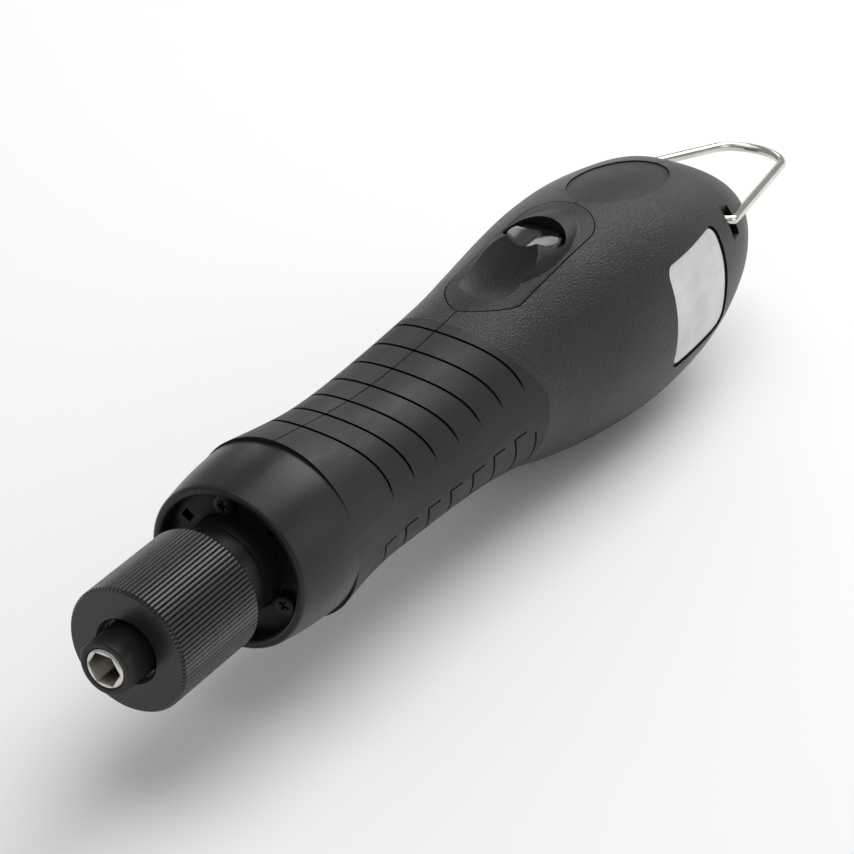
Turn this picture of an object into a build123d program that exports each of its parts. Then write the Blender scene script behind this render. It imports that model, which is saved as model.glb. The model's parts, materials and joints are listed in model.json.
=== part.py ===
from build123d import *

import os
from math import cos, pi, radians, sin, sqrt, tan

# Electric torque screwdriver with push-to-start bit, torque nut, two-part handle and hanging bail.
# Millimetres. The origin is the centre of the bit holder's front face, +X runs back along the
# tool axis, +Y is the tool's left and +Z points up through the direction rocker.

# Fits and gaps
running_gap = 0.06
seat_gap = 0.05
free_gap = 0.3
face_gap = 0.2

# Bit holder and its quick-change collar
bit_flats = 6.4
bit_depth = 14.0
holder_radius = 4.3
holder_length = 18.0
spindle_radius = 3.0
drive_flats = 4.4
collar_front = 0.2
collar_length = 11.8
collar_radius = 5.8
collar_travel = 2.0
collar_land_end = 7.8
collar_recess_radius = 5.1
detent_station = 8.6
detent_ball_radius = 1.2
clip_thickness = 0.7
start_travel = 2.5

# Torque nut and the seat that it pushes along the barrel
nut_front = 7.0
nut_length = 24.9
nut_radius = 13.5
nut_wall = 3.0
nut_hole_radius = 6.6
nut_chamfer = 0.7
knurl_teeth = 90
knurl_depth = 0.35
nut_travel_in = 6.0
seat_thickness = 2.0
seat_skirt = 6.5
seat_wall = 0.8

# Clutch barrel, cage and balls
barrel_radius = 10.0
barrel_neck_radius = 10.35
barrel_bore_radius = 8.2
cage_thickness = 2.4
cage_radius = 15.4
ball_radius = 1.5
ball_circle = 6.6
ball_count = 6
washer_thickness = 1.4
bush_wall = 1.0
clutch_wire = 1.0
clutch_turns = 6

# Planetary gears, the same in both stages
gear_module = 0.5
sun_teeth = 12
planet_teeth = 15
ring_teeth = sun_teeth + 2 * planet_teeth
planet_count = 3
planet_length = 6.0
ring_radius = 12.6
ring_web = 2.0
carrier_radius = 9.3
carrier_thickness = 2.0
hub_radius = 3.8
hub_length = 11.0
pin_radius = 0.9
gear_case_wall = 0.85

# Start rod that runs through the hollow gear and motor shafts
rod_radius = 1.0
rod_bore_radius = 1.35
rod_flange_radius = 2.6
rod_flange_thickness = 1.5
rod_tail = 18.0
rod_spring_length = 9.0
rod_spring_wire = 0.5

# Motor
motor_radius = 12.0
motor_wall = 0.8
motor_bell_length = 4.0
motor_can_length = 43.5
shaft_radius = 2.5
shaft_nose_radius = 1.85
stack_length = 26.0
stator_teeth = 6
magnet_radius = 6.2
air_gap = 0.5
bearing_radius = 5.0
bearing_width = 3.0

# Front cap and the plate that closes it
cap_front = 40.0
cap_lip_radius = 17.9
cap_rear_radius = 19.7
cap_bore_radius = 16.1
cap_lip_round = 1.0
cap_shoulder = 2.0
spigot_radius = 16.5
spigot_length = 5.0
spigot_wall = 1.2
plate_front = 43.0
plate_thickness = 1.6
plate_screw_circle = 13.2
plate_screw_count = 3

# Handle shell
handle_front = 57.2
handle_length = 176.0
handle_wall = 3.0
skin = 1.4
rib_thickness = 1.6
groove_depth = 0.8
groove_width = 0.9
groove_start = 8.8
groove_pitch = 8.45
groove_count = 7
groove_lean = 33.0
groove_end_height = 4.0
belly_groove_start = 12.6
belly_groove_pitch = 8.1
belly_groove_count = 8
belly_groove_top = -5.0
belly_groove_lean = 20.0
belly_tail = 5.0
grip_length = 74.0

# Sections of the handle: share of its length, height above the tool axis, drop of the
# section's centre below the axis, and half width
SECTIONS = [
    (0.000, 20.5, 0.2, 19.6),
    (0.057, 18.7, 0.7, 18.3),
    (0.115, 17.0, 1.4, 17.7),
    (0.180, 15.8, 2.2, 18.0),
    (0.255, 15.5, 2.7, 18.5),
    (0.340, 16.3, 3.4, 18.9),
    (0.425, 17.8, 4.6, 19.9),
    (0.510, 19.5, 6.2, 21.8),
    (0.597, 20.6, 7.0, 23.7),
    (0.682, 20.7, 7.2, 24.9),
    (0.767, 19.3, 7.0, 24.9),
    (0.852, 16.2, 6.8, 23.6),
    (0.920, 12.4, 6.7, 21.0),
    (0.965, 8.0, 6.7, 17.6),
    (1.000, 3.2, 6.7, 12.8),
]

# Direction switch on top of the handle
switch_station = 157.2
switch_hole_radius = 7.25
rocker_radius = 6.95
rocker_top = 20.6
rocker_bottom = 15.6
rocker_pivot_height = 17.2
rocker_pin_radius = 0.75
rocker_valley = 0.8
rocker_mark_width = 0.8
hump_behind = 2.8
hump_half_length = 16.0
hump_half_width = 10.4
hump_height = 22.8
hump_base = 17.4
scoop_ahead = 13.2
scoop_half_length = 13.0
scoop_half_width = 8.4
scoop_half_height = 4.5
scoop_centre_height = 22.7
scoop_tilt = 17.0
panel_front = 125.5
panel_rear = 175.0
panel_half_width = 9.6
panel_block_bottom = 14.5
panel_block_half_length = 20.0
panel_block_half_width = 9.0

# Rear of the handle
pad_behind = 36.2
pad_half_length = 20.0
pad_half_width = 9.0
label_rear = 24.0
label_length = 29.0
label_top = 8.5
label_height = 23.5
label_corner = 3.5
inlay_recess = 0.5
inlay_thickness = 0.3
bail_ahead = 20.0
bail_height = 4.7
bail_droop = 10.5
bail_wire_radius = 1.15
bail_reach = 56.0
bail_half_width = 21.0
bail_taper = 14.3
bail_round = 8.4
bail_elbow = 2.2
bail_tip = 4.6
bail_slot_width = 4.6
bail_slot_height = 10.0
bail_slot_depth = 2.6
connector_drop = 6.7
connector_radius = 6.0
connector_length = 6.0
connector_inside = 9.0
connector_wall = 0.9
connector_flange_radius = 8.0
connector_flange = 1.4
connector_nut_length = 2.2
connector_pin_radius = 0.5
connector_pin_circle = 2.6
connector_pin_count = 5

# Control board
board_front = 133.0
board_length = 66.0
board_width = 30.0
board_thickness = 1.6
board_height = -10.0
board_overhang = 7.0

# Screws
screw_radius = 1.2
screw_head_radius = 2.2
screw_head_height = 1.3
post_radius = 3.0
post_head_depth = 5.0
screw_bite = 8.0
shell_screws = [(42.8, -15.3), (78.0, -20.0), (148.0, -24.0), (139.0, 10.0)]

# Places worked out from the sizes above
nut_rear = nut_front + nut_length
nut_limit = nut_rear + nut_travel_in
seat_front = nut_front + nut_wall + face_gap
seat_rear = seat_front + seat_thickness
barrel_front = seat_rear + nut_travel_in + free_gap
cage_front = plate_front + plate_thickness
cage_rear = cage_front + cage_thickness
ball_station = cage_front + cage_thickness / 2
washer_rear = ball_station - ball_radius
bush_radius = hub_radius + running_gap + bush_wall
clutch_ring_front = cage_rear + 0.1
output_plate_front = clutch_ring_front + ring_web + free_gap
output_plate_rear = output_plate_front + carrier_thickness
output_gear_front = output_plate_rear + free_gap
output_gear_rear = output_gear_front + planet_length
clutch_ring_rear = output_gear_rear + free_gap
input_plate_front = clutch_ring_rear + 0.4
input_plate_rear = input_plate_front + carrier_thickness
input_gear_front = input_plate_rear + free_gap
input_gear_rear = input_gear_front + planet_length
ring_gear_front = clutch_ring_rear + 0.1
motor_front = input_gear_rear + 1.3
ring_gear_rear = motor_front
gear_case_radius = ring_radius + seat_gap + gear_case_wall
can_front = motor_front + motor_bell_length
can_rear = can_front + motor_can_length
motor_rear = can_rear + motor_bell_length
stack_front = can_front + (motor_can_length - stack_length) / 2
sun_pitch = gear_module * sun_teeth / 2
planet_pitch = gear_module * planet_teeth / 2
ring_pitch = gear_module * ring_teeth / 2
planet_circle = sun_pitch + planet_pitch
rod_flange_front = motor_rear + free_gap
rod_flange_rear = rod_flange_front + rod_flange_thickness
rod_rear = motor_rear + rod_tail
spring_stop = rod_flange_rear + rod_spring_length
hub_front = output_plate_front - hub_length
drive_front = hub_front - start_travel - free_gap
drive_rear = output_plate_rear - start_travel
rod_front = drive_rear + 0.1
handle_rear = handle_front + handle_length
label_front = handle_rear - label_rear - label_length
bail_station = handle_rear - bail_ahead
pad_station = handle_rear - pad_behind
grip_rear = handle_front + grip_length
scoop_station = switch_station - scoop_ahead
board_top = board_height + board_thickness
posts = [(handle_front + behind, height) for behind, height in shell_screws]

os.makedirs("parts", exist_ok=True)


def finish(piece, name):
    """Name a finished piece and write it out."""
    piece.label = name
    export_step(piece, f"parts/{name}.step")


def turned(*profile):
    """Revolve a closed outline of (station, radius) points about the tool axis."""
    with BuildSketch(Plane.XZ) as outline:
        with BuildLine():
            Polyline(*profile, close=True)
        make_face()
    revolve(outline.sketch, axis=Axis.X)


def tube(start, end, outer, inner):
    """Add a plain round sleeve along the tool axis."""
    turned((start, inner), (start, outer), (end, outer), (end, inner))


def bore(start, end, radius, mode=Mode.SUBTRACT):
    """Cut or add a round bar along the tool axis."""
    with BuildSketch(Plane.YZ.offset(start)) as outline:
        Circle(radius)
    extrude(outline.sketch, amount=end - start, mode=mode)


def hexagon(start, end, flats, mode=Mode.SUBTRACT):
    """Cut or add a hexagonal bar along the tool axis."""
    with BuildSketch(Plane.YZ.offset(start)) as outline:
        RegularPolygon(flats / sqrt(3), 6)
    extrude(outline.sketch, amount=end - start, mode=mode)


def section_at(station):
    """Height above the axis, drop of the centre and half width of the handle at a station."""
    share = (station - handle_front) / handle_length
    for near, far in zip(SECTIONS, SECTIONS[1:]):
        if share <= far[0]:
            part_way = (share - near[0]) / (far[0] - near[0])
            return [low + part_way * (high - low) for low, high in zip(near[1:], far[1:])]
    return list(SECTIONS[-1][1:])


def half_width_at(station, height):
    """Distance from the middle plane out to the handle's surface at a height."""
    top, drop, half = section_at(station)
    rise = (height + drop) / (top + drop)
    return half * sqrt(max(0.0, 1 - rise * rise))


def handle_body(inset):
    """The whole outside form of the handle, drawn in all round by inset."""
    with BuildPart() as body:
        for share, top, drop, half in SECTIONS:
            with BuildSketch(Plane.YZ.offset(handle_front + share * handle_length)):
                with Locations((0, -drop)):
                    Ellipse(half - inset, top + drop - inset)
        loft()
    return body.part


def coil_spring(start, end, mean_radius, wire, turns):
    """A round-wire compression spring about the tool axis, drawn as an octagonal wire."""
    rise = end - start - wire
    with BuildPart() as coil:
        with BuildLine():
            coil_start = (start + wire / 2, 0, 0)
            path = Helix(rise / turns, rise, mean_radius, center=coil_start, direction=(1, 0, 0))
        with BuildSketch(Plane(origin=path @ 0, z_dir=path % 0)):
            RegularPolygon(wire / 2, 6)
        sweep(is_frenet=True)
    return coil.part


def tooth_outline(teeth, thickness, root, tip):
    """Points round a gear: straight flanks at the pressure angle, one tooth centred on angle 0."""
    pitch_radius = gear_module * teeth / 2
    slope = tan(radians(20))
    points = []
    for tooth in range(teeth):
        middle = 2 * pi * tooth / teeth
        for side, radius in ((-1, root), (-1, tip), (1, tip), (1, root)):
            half = (thickness / 2 - (radius - pitch_radius) * slope) / radius
            angle = middle + side * half
            points.append((radius * cos(angle), radius * sin(angle)))
    return points


tooth_pitch = pi * gear_module
gear_tooth = 0.43 * tooth_pitch
ring_space = 0.57 * tooth_pitch
addendum = 0.9 * gear_module
dedendum = 1.25 * gear_module


def external_teeth(start, end, teeth):
    """Add a toothed bar with outside teeth along the tool axis."""
    pitch_radius = gear_module * teeth / 2
    points = tooth_outline(teeth, gear_tooth, pitch_radius - dedendum, pitch_radius + addendum)
    with BuildSketch(Plane.YZ.offset(start)) as outline:
        with BuildLine():
            Polyline(*points, close=True)
        make_face()
    extrude(outline.sketch, amount=end - start)


def internal_teeth(start, end):
    """Cut the ring gear's inside teeth along the tool axis."""
    points = tooth_outline(ring_teeth, ring_space, ring_pitch - addendum, ring_pitch + dedendum)
    with BuildSketch(Plane.YZ.offset(start)) as outline:
        with BuildLine():
            Polyline(*points, close=True)
        make_face()
    extrude(outline.sketch, amount=end - start, mode=Mode.SUBTRACT)


# Bit holder and spindle: hexagon socket, two detent ball holes, clip groove and drive end
with BuildPart() as spindle:
    turned(
        (0, 0),
        (0, holder_radius - 0.4),
        (0.4, holder_radius),
        (holder_length, holder_radius),
        (holder_length, spindle_radius),
        (drive_front, spindle_radius),
        (drive_front, 0),
    )
    hexagon(drive_front, drive_rear, drive_flats, mode=Mode.ADD)
    hexagon(0, bit_depth, bit_flats)
    with BuildSketch(Plane.XY):
        with Locations((detent_station, 0)):
            Circle(detent_ball_radius + seat_gap)
    extrude(amount=holder_radius, both=True, mode=Mode.SUBTRACT)
finish(spindle.part, "spindle")

with BuildPart() as detent_balls:
    with Locations((detent_station, 0, 0)):
        ball_height = holder_radius - detent_ball_radius
        with Locations((0, 0, ball_height), (0, 0, -ball_height)):
            Sphere(detent_ball_radius)
finish(detent_balls.part, "detent_balls")

# Sleeve that is pulled back to let the bit go, with its spring and the clip that keeps it
collar_rear = collar_front + collar_length
collar_bore = holder_radius + running_gap
with BuildPart() as bit_collar:
    turned(
        (collar_front, collar_bore),
        (collar_front, collar_radius - 0.5),
        (collar_front + 0.5, collar_radius),
        (collar_rear, collar_radius),
        (collar_rear, collar_recess_radius),
        (collar_land_end + 2 * detent_ball_radius, collar_recess_radius),
        (collar_land_end + 2 * detent_ball_radius, collar_bore),
    )
finish(bit_collar.part, "bit_collar")

collar_spring_front = collar_land_end + 2 * detent_ball_radius
collar_stop = collar_rear + collar_travel + free_gap
with BuildPart() as collar_clip:
    tube(collar_stop, collar_stop + clip_thickness, collar_recess_radius, holder_radius + running_gap / 2)
finish(collar_clip.part, "collar_clip")

collar_wire = 0.5
collar_coil = holder_radius + running_gap + collar_wire / 2 + 0.05
collar_spring = coil_spring(collar_spring_front + 0.1, collar_stop - 0.1, collar_coil, collar_wire, 3)
finish(collar_spring, "collar_spring")

# Torque nut: straight knurl, chamfered ends, bore that screws on the barrel
knurl_outline = []
for edge in range(2 * knurl_teeth):
    knurl_angle = pi * edge / knurl_teeth
    knurl_radius = nut_radius - knurl_depth * (edge % 2)
    knurl_outline.append((knurl_radius * cos(knurl_angle), knurl_radius * sin(knurl_angle)))
with BuildPart() as torque_nut:
    with BuildSketch(Plane.YZ.offset(nut_front)):
        with BuildLine():
            Polyline(*knurl_outline, close=True)
        make_face()
    extrude(amount=nut_length)
    with BuildSketch(Plane.XZ):
        with BuildLine():
            Polyline(
                (nut_front, 0),
                (nut_front, nut_radius - nut_chamfer),
                (nut_front + nut_chamfer, nut_radius),
                (nut_rear - nut_chamfer, nut_radius),
                (nut_rear, nut_radius - nut_chamfer),
                (nut_rear, 0),
                close=True,
            )
        make_face()
    revolve(axis=Axis.X, mode=Mode.INTERSECT)
    bore(nut_front, nut_rear, nut_hole_radius)
    bore(nut_front + nut_wall, nut_rear, barrel_radius + running_gap)
finish(torque_nut.part, "torque_nut")

# Seat between the nut and the clutch spring
seat_skirt_radius = barrel_bore_radius - running_gap
with BuildPart() as spring_seat:
    turned(
        (seat_front, collar_radius + free_gap),
        (seat_front, barrel_radius - free_gap),
        (seat_rear, barrel_radius - free_gap),
        (seat_rear, seat_skirt_radius),
        (seat_rear + seat_skirt, seat_skirt_radius),
        (seat_rear + seat_skirt, seat_skirt_radius - seat_wall),
        (seat_rear, seat_skirt_radius - seat_wall),
        (seat_rear, collar_radius + free_gap),
    )
finish(spring_seat.part, "spring_seat")

clutch_coil_radius = seat_skirt_radius - seat_wall - clutch_wire / 2 - 0.1
clutch_spring = coil_spring(
    seat_rear + 0.1, washer_rear - washer_thickness - 0.1, clutch_coil_radius, clutch_wire, clutch_turns
)
finish(clutch_spring, "clutch_spring")

with BuildPart() as thrust_washer:
    tube(washer_rear - washer_thickness, washer_rear, barrel_bore_radius - seat_gap, hub_radius + free_gap)
finish(thrust_washer.part, "thrust_washer")

# Barrel: nose for the nut, neck through the plate and the wall that cages the clutch balls
with BuildPart() as clutch_barrel:
    turned(
        (barrel_front, barrel_bore_radius),
        (barrel_front, barrel_radius - 0.4),
        (barrel_front + 0.4, barrel_radius),
        (nut_limit + free_gap, barrel_radius),
        (nut_limit + free_gap, barrel_neck_radius),
        (cage_front, barrel_neck_radius),
        (cage_front, cage_radius),
        (cage_rear, cage_radius),
        (cage_rear, bush_radius),
        (cage_front, bush_radius),
        (cage_front, barrel_bore_radius),
    )
    with BuildSketch(Plane.YZ.offset(cage_front)):
        with PolarLocations(ball_circle, ball_count):
            Circle(ball_radius + seat_gap)
        with PolarLocations(plate_screw_circle, plate_screw_count, start_angle=83):
            Circle(screw_radius)
    extrude(amount=cage_thickness, mode=Mode.SUBTRACT)
finish(clutch_barrel.part, "clutch_barrel")

with BuildPart() as carrier_bush:
    tube(cage_front, cage_rear, bush_radius, hub_radius + running_gap)
finish(carrier_bush.part, "carrier_bush")

with BuildPart() as clutch_balls:
    with Locations(Plane.YZ.offset(ball_station)):
        with PolarLocations(ball_circle, ball_count):
            Sphere(ball_radius)
finish(clutch_balls.part, "clutch_balls")

# Ring gear of the output stage, with ball pockets in its front web
with BuildPart() as clutch_ring:
    tube(clutch_ring_front, clutch_ring_rear, ring_radius, hub_radius + free_gap)
    bore(clutch_ring_front + ring_web, clutch_ring_rear, ring_pitch - addendum)
    internal_teeth(clutch_ring_front + ring_web, clutch_ring_rear)
    with Locations(Plane.YZ.offset(ball_station)):
        with PolarLocations(ball_circle, ball_count):
            Sphere(ball_radius + seat_gap, mode=Mode.SUBTRACT)
finish(clutch_ring.part, "clutch_ring")

with BuildPart() as ring_gear:
    tube(ring_gear_front, ring_gear_rear, ring_radius, ring_pitch - addendum)
    internal_teeth(ring_gear_front, ring_gear_rear)
finish(ring_gear.part, "ring_gear")

with BuildPart() as gear_case:
    tube(cage_rear, motor_front, gear_case_radius, ring_radius + seat_gap)
finish(gear_case.part, "gear_case")


def planet_pins(plate_front, gear_rear):
    """Three pins pressed in a carrier plate."""
    with BuildPart() as pins:
        with BuildSketch(Plane.YZ.offset(plate_front + 0.4)):
            with PolarLocations(planet_circle, planet_count):
                Circle(pin_radius)
        extrude(amount=gear_rear + 0.2 - plate_front - 0.4)
    return pins.part


def pin_holes(plate_front, plate_rear):
    """Cut the holes for the planet pins in a carrier plate."""
    with BuildSketch(Plane.YZ.offset(plate_front)) as outline:
        with PolarLocations(planet_circle, planet_count):
            Circle(pin_radius + 0.01)
    extrude(outline.sketch, amount=plate_rear - plate_front, mode=Mode.SUBTRACT)


def planet(number, start):
    """One planet gear, turned so that a tooth points straight out from the tool axis."""
    turn = 360 * number / planet_count
    centre = Vector(0, planet_circle, 0).rotate(Axis.X, turn)
    outline = tooth_outline(planet_teeth, gear_tooth, planet_pitch - dedendum, planet_pitch + addendum)
    with BuildPart() as gear:
        with BuildSketch(Plane((start, centre.Y, centre.Z), x_dir=centre, z_dir=(1, 0, 0))):
            with BuildLine():
                Polyline(*outline, close=True)
            make_face()
            Circle(pin_radius + seat_gap, mode=Mode.SUBTRACT)
        extrude(amount=planet_length)
    return gear.part


# Output carrier: plate, pins and the hexagonal hub that drives the spindle
with BuildPart() as output_carrier:
    bore(hub_front, output_plate_front, hub_radius, mode=Mode.ADD)
    bore(output_plate_front, output_plate_rear, carrier_radius, mode=Mode.ADD)
    hexagon(hub_front, output_plate_rear, drive_flats + 2 * running_gap)
    pin_holes(output_plate_front, output_plate_rear)
finish(output_carrier.part, "output_carrier")
finish(planet_pins(output_plate_front, output_gear_rear), "output_pins")

with BuildPart() as input_carrier:
    bore(input_plate_front, input_plate_rear, carrier_radius, mode=Mode.ADD)
    bore(input_plate_front, input_plate_rear, rod_bore_radius)
    pin_holes(input_plate_front, input_plate_rear)
finish(input_carrier.part, "input_carrier")
finish(planet_pins(input_plate_front, input_gear_rear), "input_pins")

with BuildPart() as output_sun:
    external_teeth(output_gear_front, input_plate_front, sun_teeth)
    bore(output_gear_front, input_plate_front, rod_bore_radius)
finish(output_sun.part, "output_sun")

for stage, stage_front in (("output", output_gear_front), ("input", input_gear_front)):
    for number in range(planet_count):
        finish(planet(number, stage_front), f"{stage}_planet_{number + 1}")

# Motor: pinion, hollow shaft, magnet, bearings, bells, can, laminated core and windings
with BuildPart() as motor_sun:
    external_teeth(input_gear_front, input_gear_rear + free_gap, sun_teeth)
    bore(input_gear_front, input_gear_rear + free_gap, shaft_nose_radius)
finish(motor_sun.part, "motor_sun")

with BuildPart() as motor_shaft:
    turned(
        (input_gear_front, rod_bore_radius),
        (input_gear_front, shaft_nose_radius),
        (motor_front, shaft_nose_radius),
        (motor_front, shaft_radius),
        (motor_rear - 0.4, shaft_radius),
        (motor_rear - 0.4, rod_bore_radius),
    )
finish(motor_shaft.part, "motor_shaft")

with BuildPart() as rotor_magnet:
    tube(stack_front, stack_front + stack_length, magnet_radius, shaft_radius)
finish(rotor_magnet.part, "rotor_magnet")

bearing_stations = (motor_front + 0.6, motor_rear - 0.6 - bearing_width)
with BuildPart() as motor_bearings:
    for station in bearing_stations:
        tube(station, station + bearing_width, bearing_radius, shaft_radius + seat_gap)
finish(motor_bearings.part, "motor_bearings")


def motor_bell(start, bearing_station):
    """End bell of the motor with its bearing seat and vents."""
    with BuildPart() as bell:
        tube(start, start + motor_bell_length, motor_radius, shaft_radius + free_gap)
        bore(bearing_station, bearing_station + bearing_width, bearing_radius)
        with BuildSketch(Plane.YZ.offset(start)):
            with PolarLocations((bearing_radius + motor_radius) / 2, stator_teeth):
                SlotCenterToCenter(3, 1.8, rotation=90)
        extrude(amount=motor_bell_length, mode=Mode.SUBTRACT)
    return bell.part


finish(motor_bell(motor_front, bearing_stations[0]), "motor_front_bell")
finish(motor_bell(can_rear, bearing_stations[1]), "motor_rear_bell")

with BuildPart() as motor_can:
    tube(can_front, can_rear, motor_radius, motor_radius - motor_wall)
finish(motor_can.part, "motor_can")

core_radius = motor_radius - motor_wall - seat_gap / 2
core_back = 1.4
core_bore = magnet_radius + air_gap
core_tooth = 2.0
with BuildPart() as stator_core:
    with BuildSketch(Plane.YZ.offset(stack_front)):
        Circle(core_radius)
        Circle(core_radius - core_back, mode=Mode.SUBTRACT)
        with PolarLocations((core_bore + core_radius) / 2 - core_back / 4, stator_teeth):
            Rectangle(core_radius - core_bore - core_back / 2, core_tooth)
    extrude(amount=stack_length)
finish(stator_core.part, "stator_core")

coil_side = 1.1
coil_end = 2.4
with BuildPart() as stator_coils:
    with BuildSketch(Plane.YZ.offset(stack_front - coil_end)):
        with PolarLocations((core_bore + core_radius - core_back) / 2, stator_teeth):
            Rectangle(core_radius - core_bore - core_back - 2 * free_gap, core_tooth + 2 * coil_side)
    extrude(amount=stack_length + 2 * coil_end)
    with BuildSketch(Plane.YZ.offset(stack_front - seat_gap)):
        with PolarLocations((core_bore + core_radius) / 2, stator_teeth):
            Rectangle(core_radius, core_tooth + 2 * seat_gap)
    extrude(amount=stack_length + 2 * seat_gap, mode=Mode.SUBTRACT)
finish(stator_coils.part, "stator_coils")

# Start rod with its flange and return spring
with BuildPart() as start_rod:
    turned(
        (rod_front, 0),
        (rod_front, rod_radius),
        (rod_flange_front, rod_radius),
        (rod_flange_front, rod_flange_radius),
        (rod_flange_rear, rod_flange_radius),
        (rod_flange_rear, rod_radius),
        (rod_rear, rod_radius),
        (rod_rear, 0),
    )
finish(start_rod.part, "start_rod")

rod_coil_radius = rod_radius + free_gap + rod_spring_wire / 2
start_spring = coil_spring(rod_flange_rear + 0.1, spring_stop - 0.1, rod_coil_radius, rod_spring_wire, 5)
finish(start_spring, "start_spring")

# Front cap, its plate and the plate screws
with BuildPart() as front_cap:
    with BuildSketch(Plane.XZ):
        with BuildLine():
            outer_curve = ThreePointArc(
                (cap_front, cap_lip_radius),
                ((cap_front + handle_front) / 2, (cap_lip_radius + cap_rear_radius) / 2 + 0.35),
                (handle_front, cap_rear_radius),
            )
            Polyline(
                outer_curve @ 1,
                (handle_front, spigot_radius),
                (handle_front + spigot_length, spigot_radius),
                (handle_front + spigot_length, spigot_radius - spigot_wall),
                (handle_front - cap_shoulder, spigot_radius - spigot_wall),
                (handle_front - cap_shoulder, cap_bore_radius),
                (cap_front, cap_bore_radius),
                outer_curve @ 0,
            )
        make_face()
    revolve(axis=Axis.X)
    lip_edges = front_cap.edges().filter_by(GeomType.CIRCLE).group_by(Axis.X)[0]
    fillet(lip_edges.sort_by(SortBy.RADIUS)[-1], cap_lip_round)
    fillet(front_cap.edges().filter_by(GeomType.CIRCLE).group_by(Axis.X)[0].sort_by(SortBy.RADIUS)[0], 0.4)
finish(front_cap.part, "front_cap")

plate_window = 2.2
with BuildPart() as front_plate:
    tube(plate_front, cage_front, cap_bore_radius - seat_gap, barrel_neck_radius + face_gap)
    with BuildSketch(Plane.YZ.offset(plate_front)):
        with PolarLocations(plate_screw_circle, 1, start_angle=33):
            Rectangle(plate_window, plate_window)
        with PolarLocations(plate_screw_circle, 2, start_angle=131, angular_range=130):
            Circle(plate_window / 2)
        with PolarLocations(plate_screw_circle, plate_screw_count, start_angle=83):
            Circle(screw_radius + 0.1)
    extrude(amount=plate_thickness, mode=Mode.SUBTRACT)
finish(front_plate.part, "front_plate")

with BuildPart() as plate_screws:
    with BuildSketch(Plane.YZ.offset(plate_front - screw_head_height)):
        with PolarLocations(plate_screw_circle, plate_screw_count, start_angle=83):
            Circle(screw_head_radius)
    extrude(amount=screw_head_height)
    with BuildSketch(Plane.YZ.offset(plate_front)):
        with PolarLocations(plate_screw_circle, plate_screw_count, start_angle=83):
            Circle(screw_radius - 0.01)
    extrude(amount=plate_thickness + cage_thickness)
    with BuildSketch(Plane.YZ.offset(plate_front - screw_head_height)):
        with PolarLocations(plate_screw_circle, plate_screw_count, start_angle=83):
            Rectangle(2.4, 0.6)
            Rectangle(0.6, 2.4)
    extrude(amount=0.7, mode=Mode.SUBTRACT)
finish(plate_screws.part, "plate_screws")

# The outside form at the depths where skins, pockets and the wall lie
form = handle_body(0)
groove_form = handle_body(groove_depth)
skin_form = handle_body(skin - seat_gap)
pocket_form = handle_body(skin)
cavity_form = handle_body(handle_wall)
recess_form = handle_body(inlay_recess)
inlay_form = handle_body(inlay_recess - inlay_thickness)
wide = 2 * cap_rear_radius


def grip_zone(shrink):
    """Side view of the rubber grip, with a leaning rear edge."""
    lean = tan(radians(groove_lean))
    with BuildPart() as zone:
        with BuildSketch(Plane.XZ):
            with BuildLine():
                Polyline(
                    (handle_front - 1, wide),
                    (grip_rear - shrink - lean * wide, wide),
                    (grip_rear - shrink, 0),
                    (grip_rear - shrink, -wide),
                    (handle_front - 1, -wide),
                    close=True,
                )
            make_face()
        extrude(amount=wide, both=True)
    return zone.part


def side_disc(station, height, radius, start, end, mode=Mode.SUBTRACT):
    """Cut or add a round bar that runs across the handle from y start to y end."""
    with BuildSketch(Plane.XZ.offset(-start)) as outline:
        with Locations((station, height)):
            Circle(radius)
    extrude(outline.sketch, amount=start - end, mode=mode)


def groove(station, height, length, lean):
    """One straight groove cutter in side view, leaning back from its upper end."""
    with BuildPart() as cutter:
        with BuildSketch(Plane((station, 0, height), x_dir=(cos(lean), 0, sin(lean)), z_dir=(0, -1, 0))):
            Rectangle(groove_width, length, align=(Align.CENTER, Align.MAX))
        extrude(amount=wide, both=True)
    return cutter.part


with BuildPart() as grooves:
    for number in range(groove_count):
        station = handle_front + groove_start + groove_pitch * number
        height = section_at(station)[0] + 1
        run = (height - groove_end_height) / cos(radians(groove_lean))
        add(groove(station, height, run, radians(groove_lean)))
    for number in range(belly_groove_count):
        station = handle_front + belly_groove_start + belly_groove_pitch * number
        add(groove(station, belly_groove_top, wide, radians(belly_groove_lean)))
        if number < belly_groove_count - 1:
            add(groove(station, belly_groove_top, belly_tail, radians(90)))
    add(groove_form, mode=Mode.SUBTRACT)

for side, keep in (("left", Keep.BOTTOM), ("right", Keep.TOP)):
    with BuildPart() as grip:
        add(form)
        add(skin_form, mode=Mode.SUBTRACT)
        add(grip_zone(seat_gap), mode=Mode.INTERSECT)
        add(grooves.part, mode=Mode.SUBTRACT)
        split(bisect_by=Plane.XZ, keep=keep)
        if side == "left":
            for station, height in posts:
                side_disc(station, height, screw_head_radius + free_gap, 0, wide)
    finish(grip.part, f"grip_{side}")


def ellipsoid(station, height, half_length, half_width, half_height, tilt=0):
    """An egg-shaped solid centred on the middle plane, its rear end raised by tilt degrees."""
    ball = scale(Sphere(1, mode=Mode.PRIVATE), by=(half_length, half_width, half_height), mode=Mode.PRIVATE)
    return Pos(station, 0, height) * Rot(0, -tilt, 0) * ball


def panel_zone(grow):
    """Top view of the switch panel: a long slot shape with round ends."""
    with BuildPart() as zone:
        with BuildSketch(Plane.XY):
            with Locations(((panel_front + panel_rear) / 2, 0)):
                SlotOverall(panel_rear - panel_front + 2 * grow, 2 * (panel_half_width + grow))
        extrude(amount=wide)
    return zone.part


def block_zone(grow):
    """Top view of the thick middle of the panel, round the scoop and the switch hole."""
    with BuildPart() as zone:
        with BuildSketch(Plane.XY.offset(panel_block_bottom - grow)):
            with Locations((switch_station - 4, 0)):
                Ellipse(panel_block_half_length + grow, panel_block_half_width + grow)
        extrude(amount=wide)
    return zone.part


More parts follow.
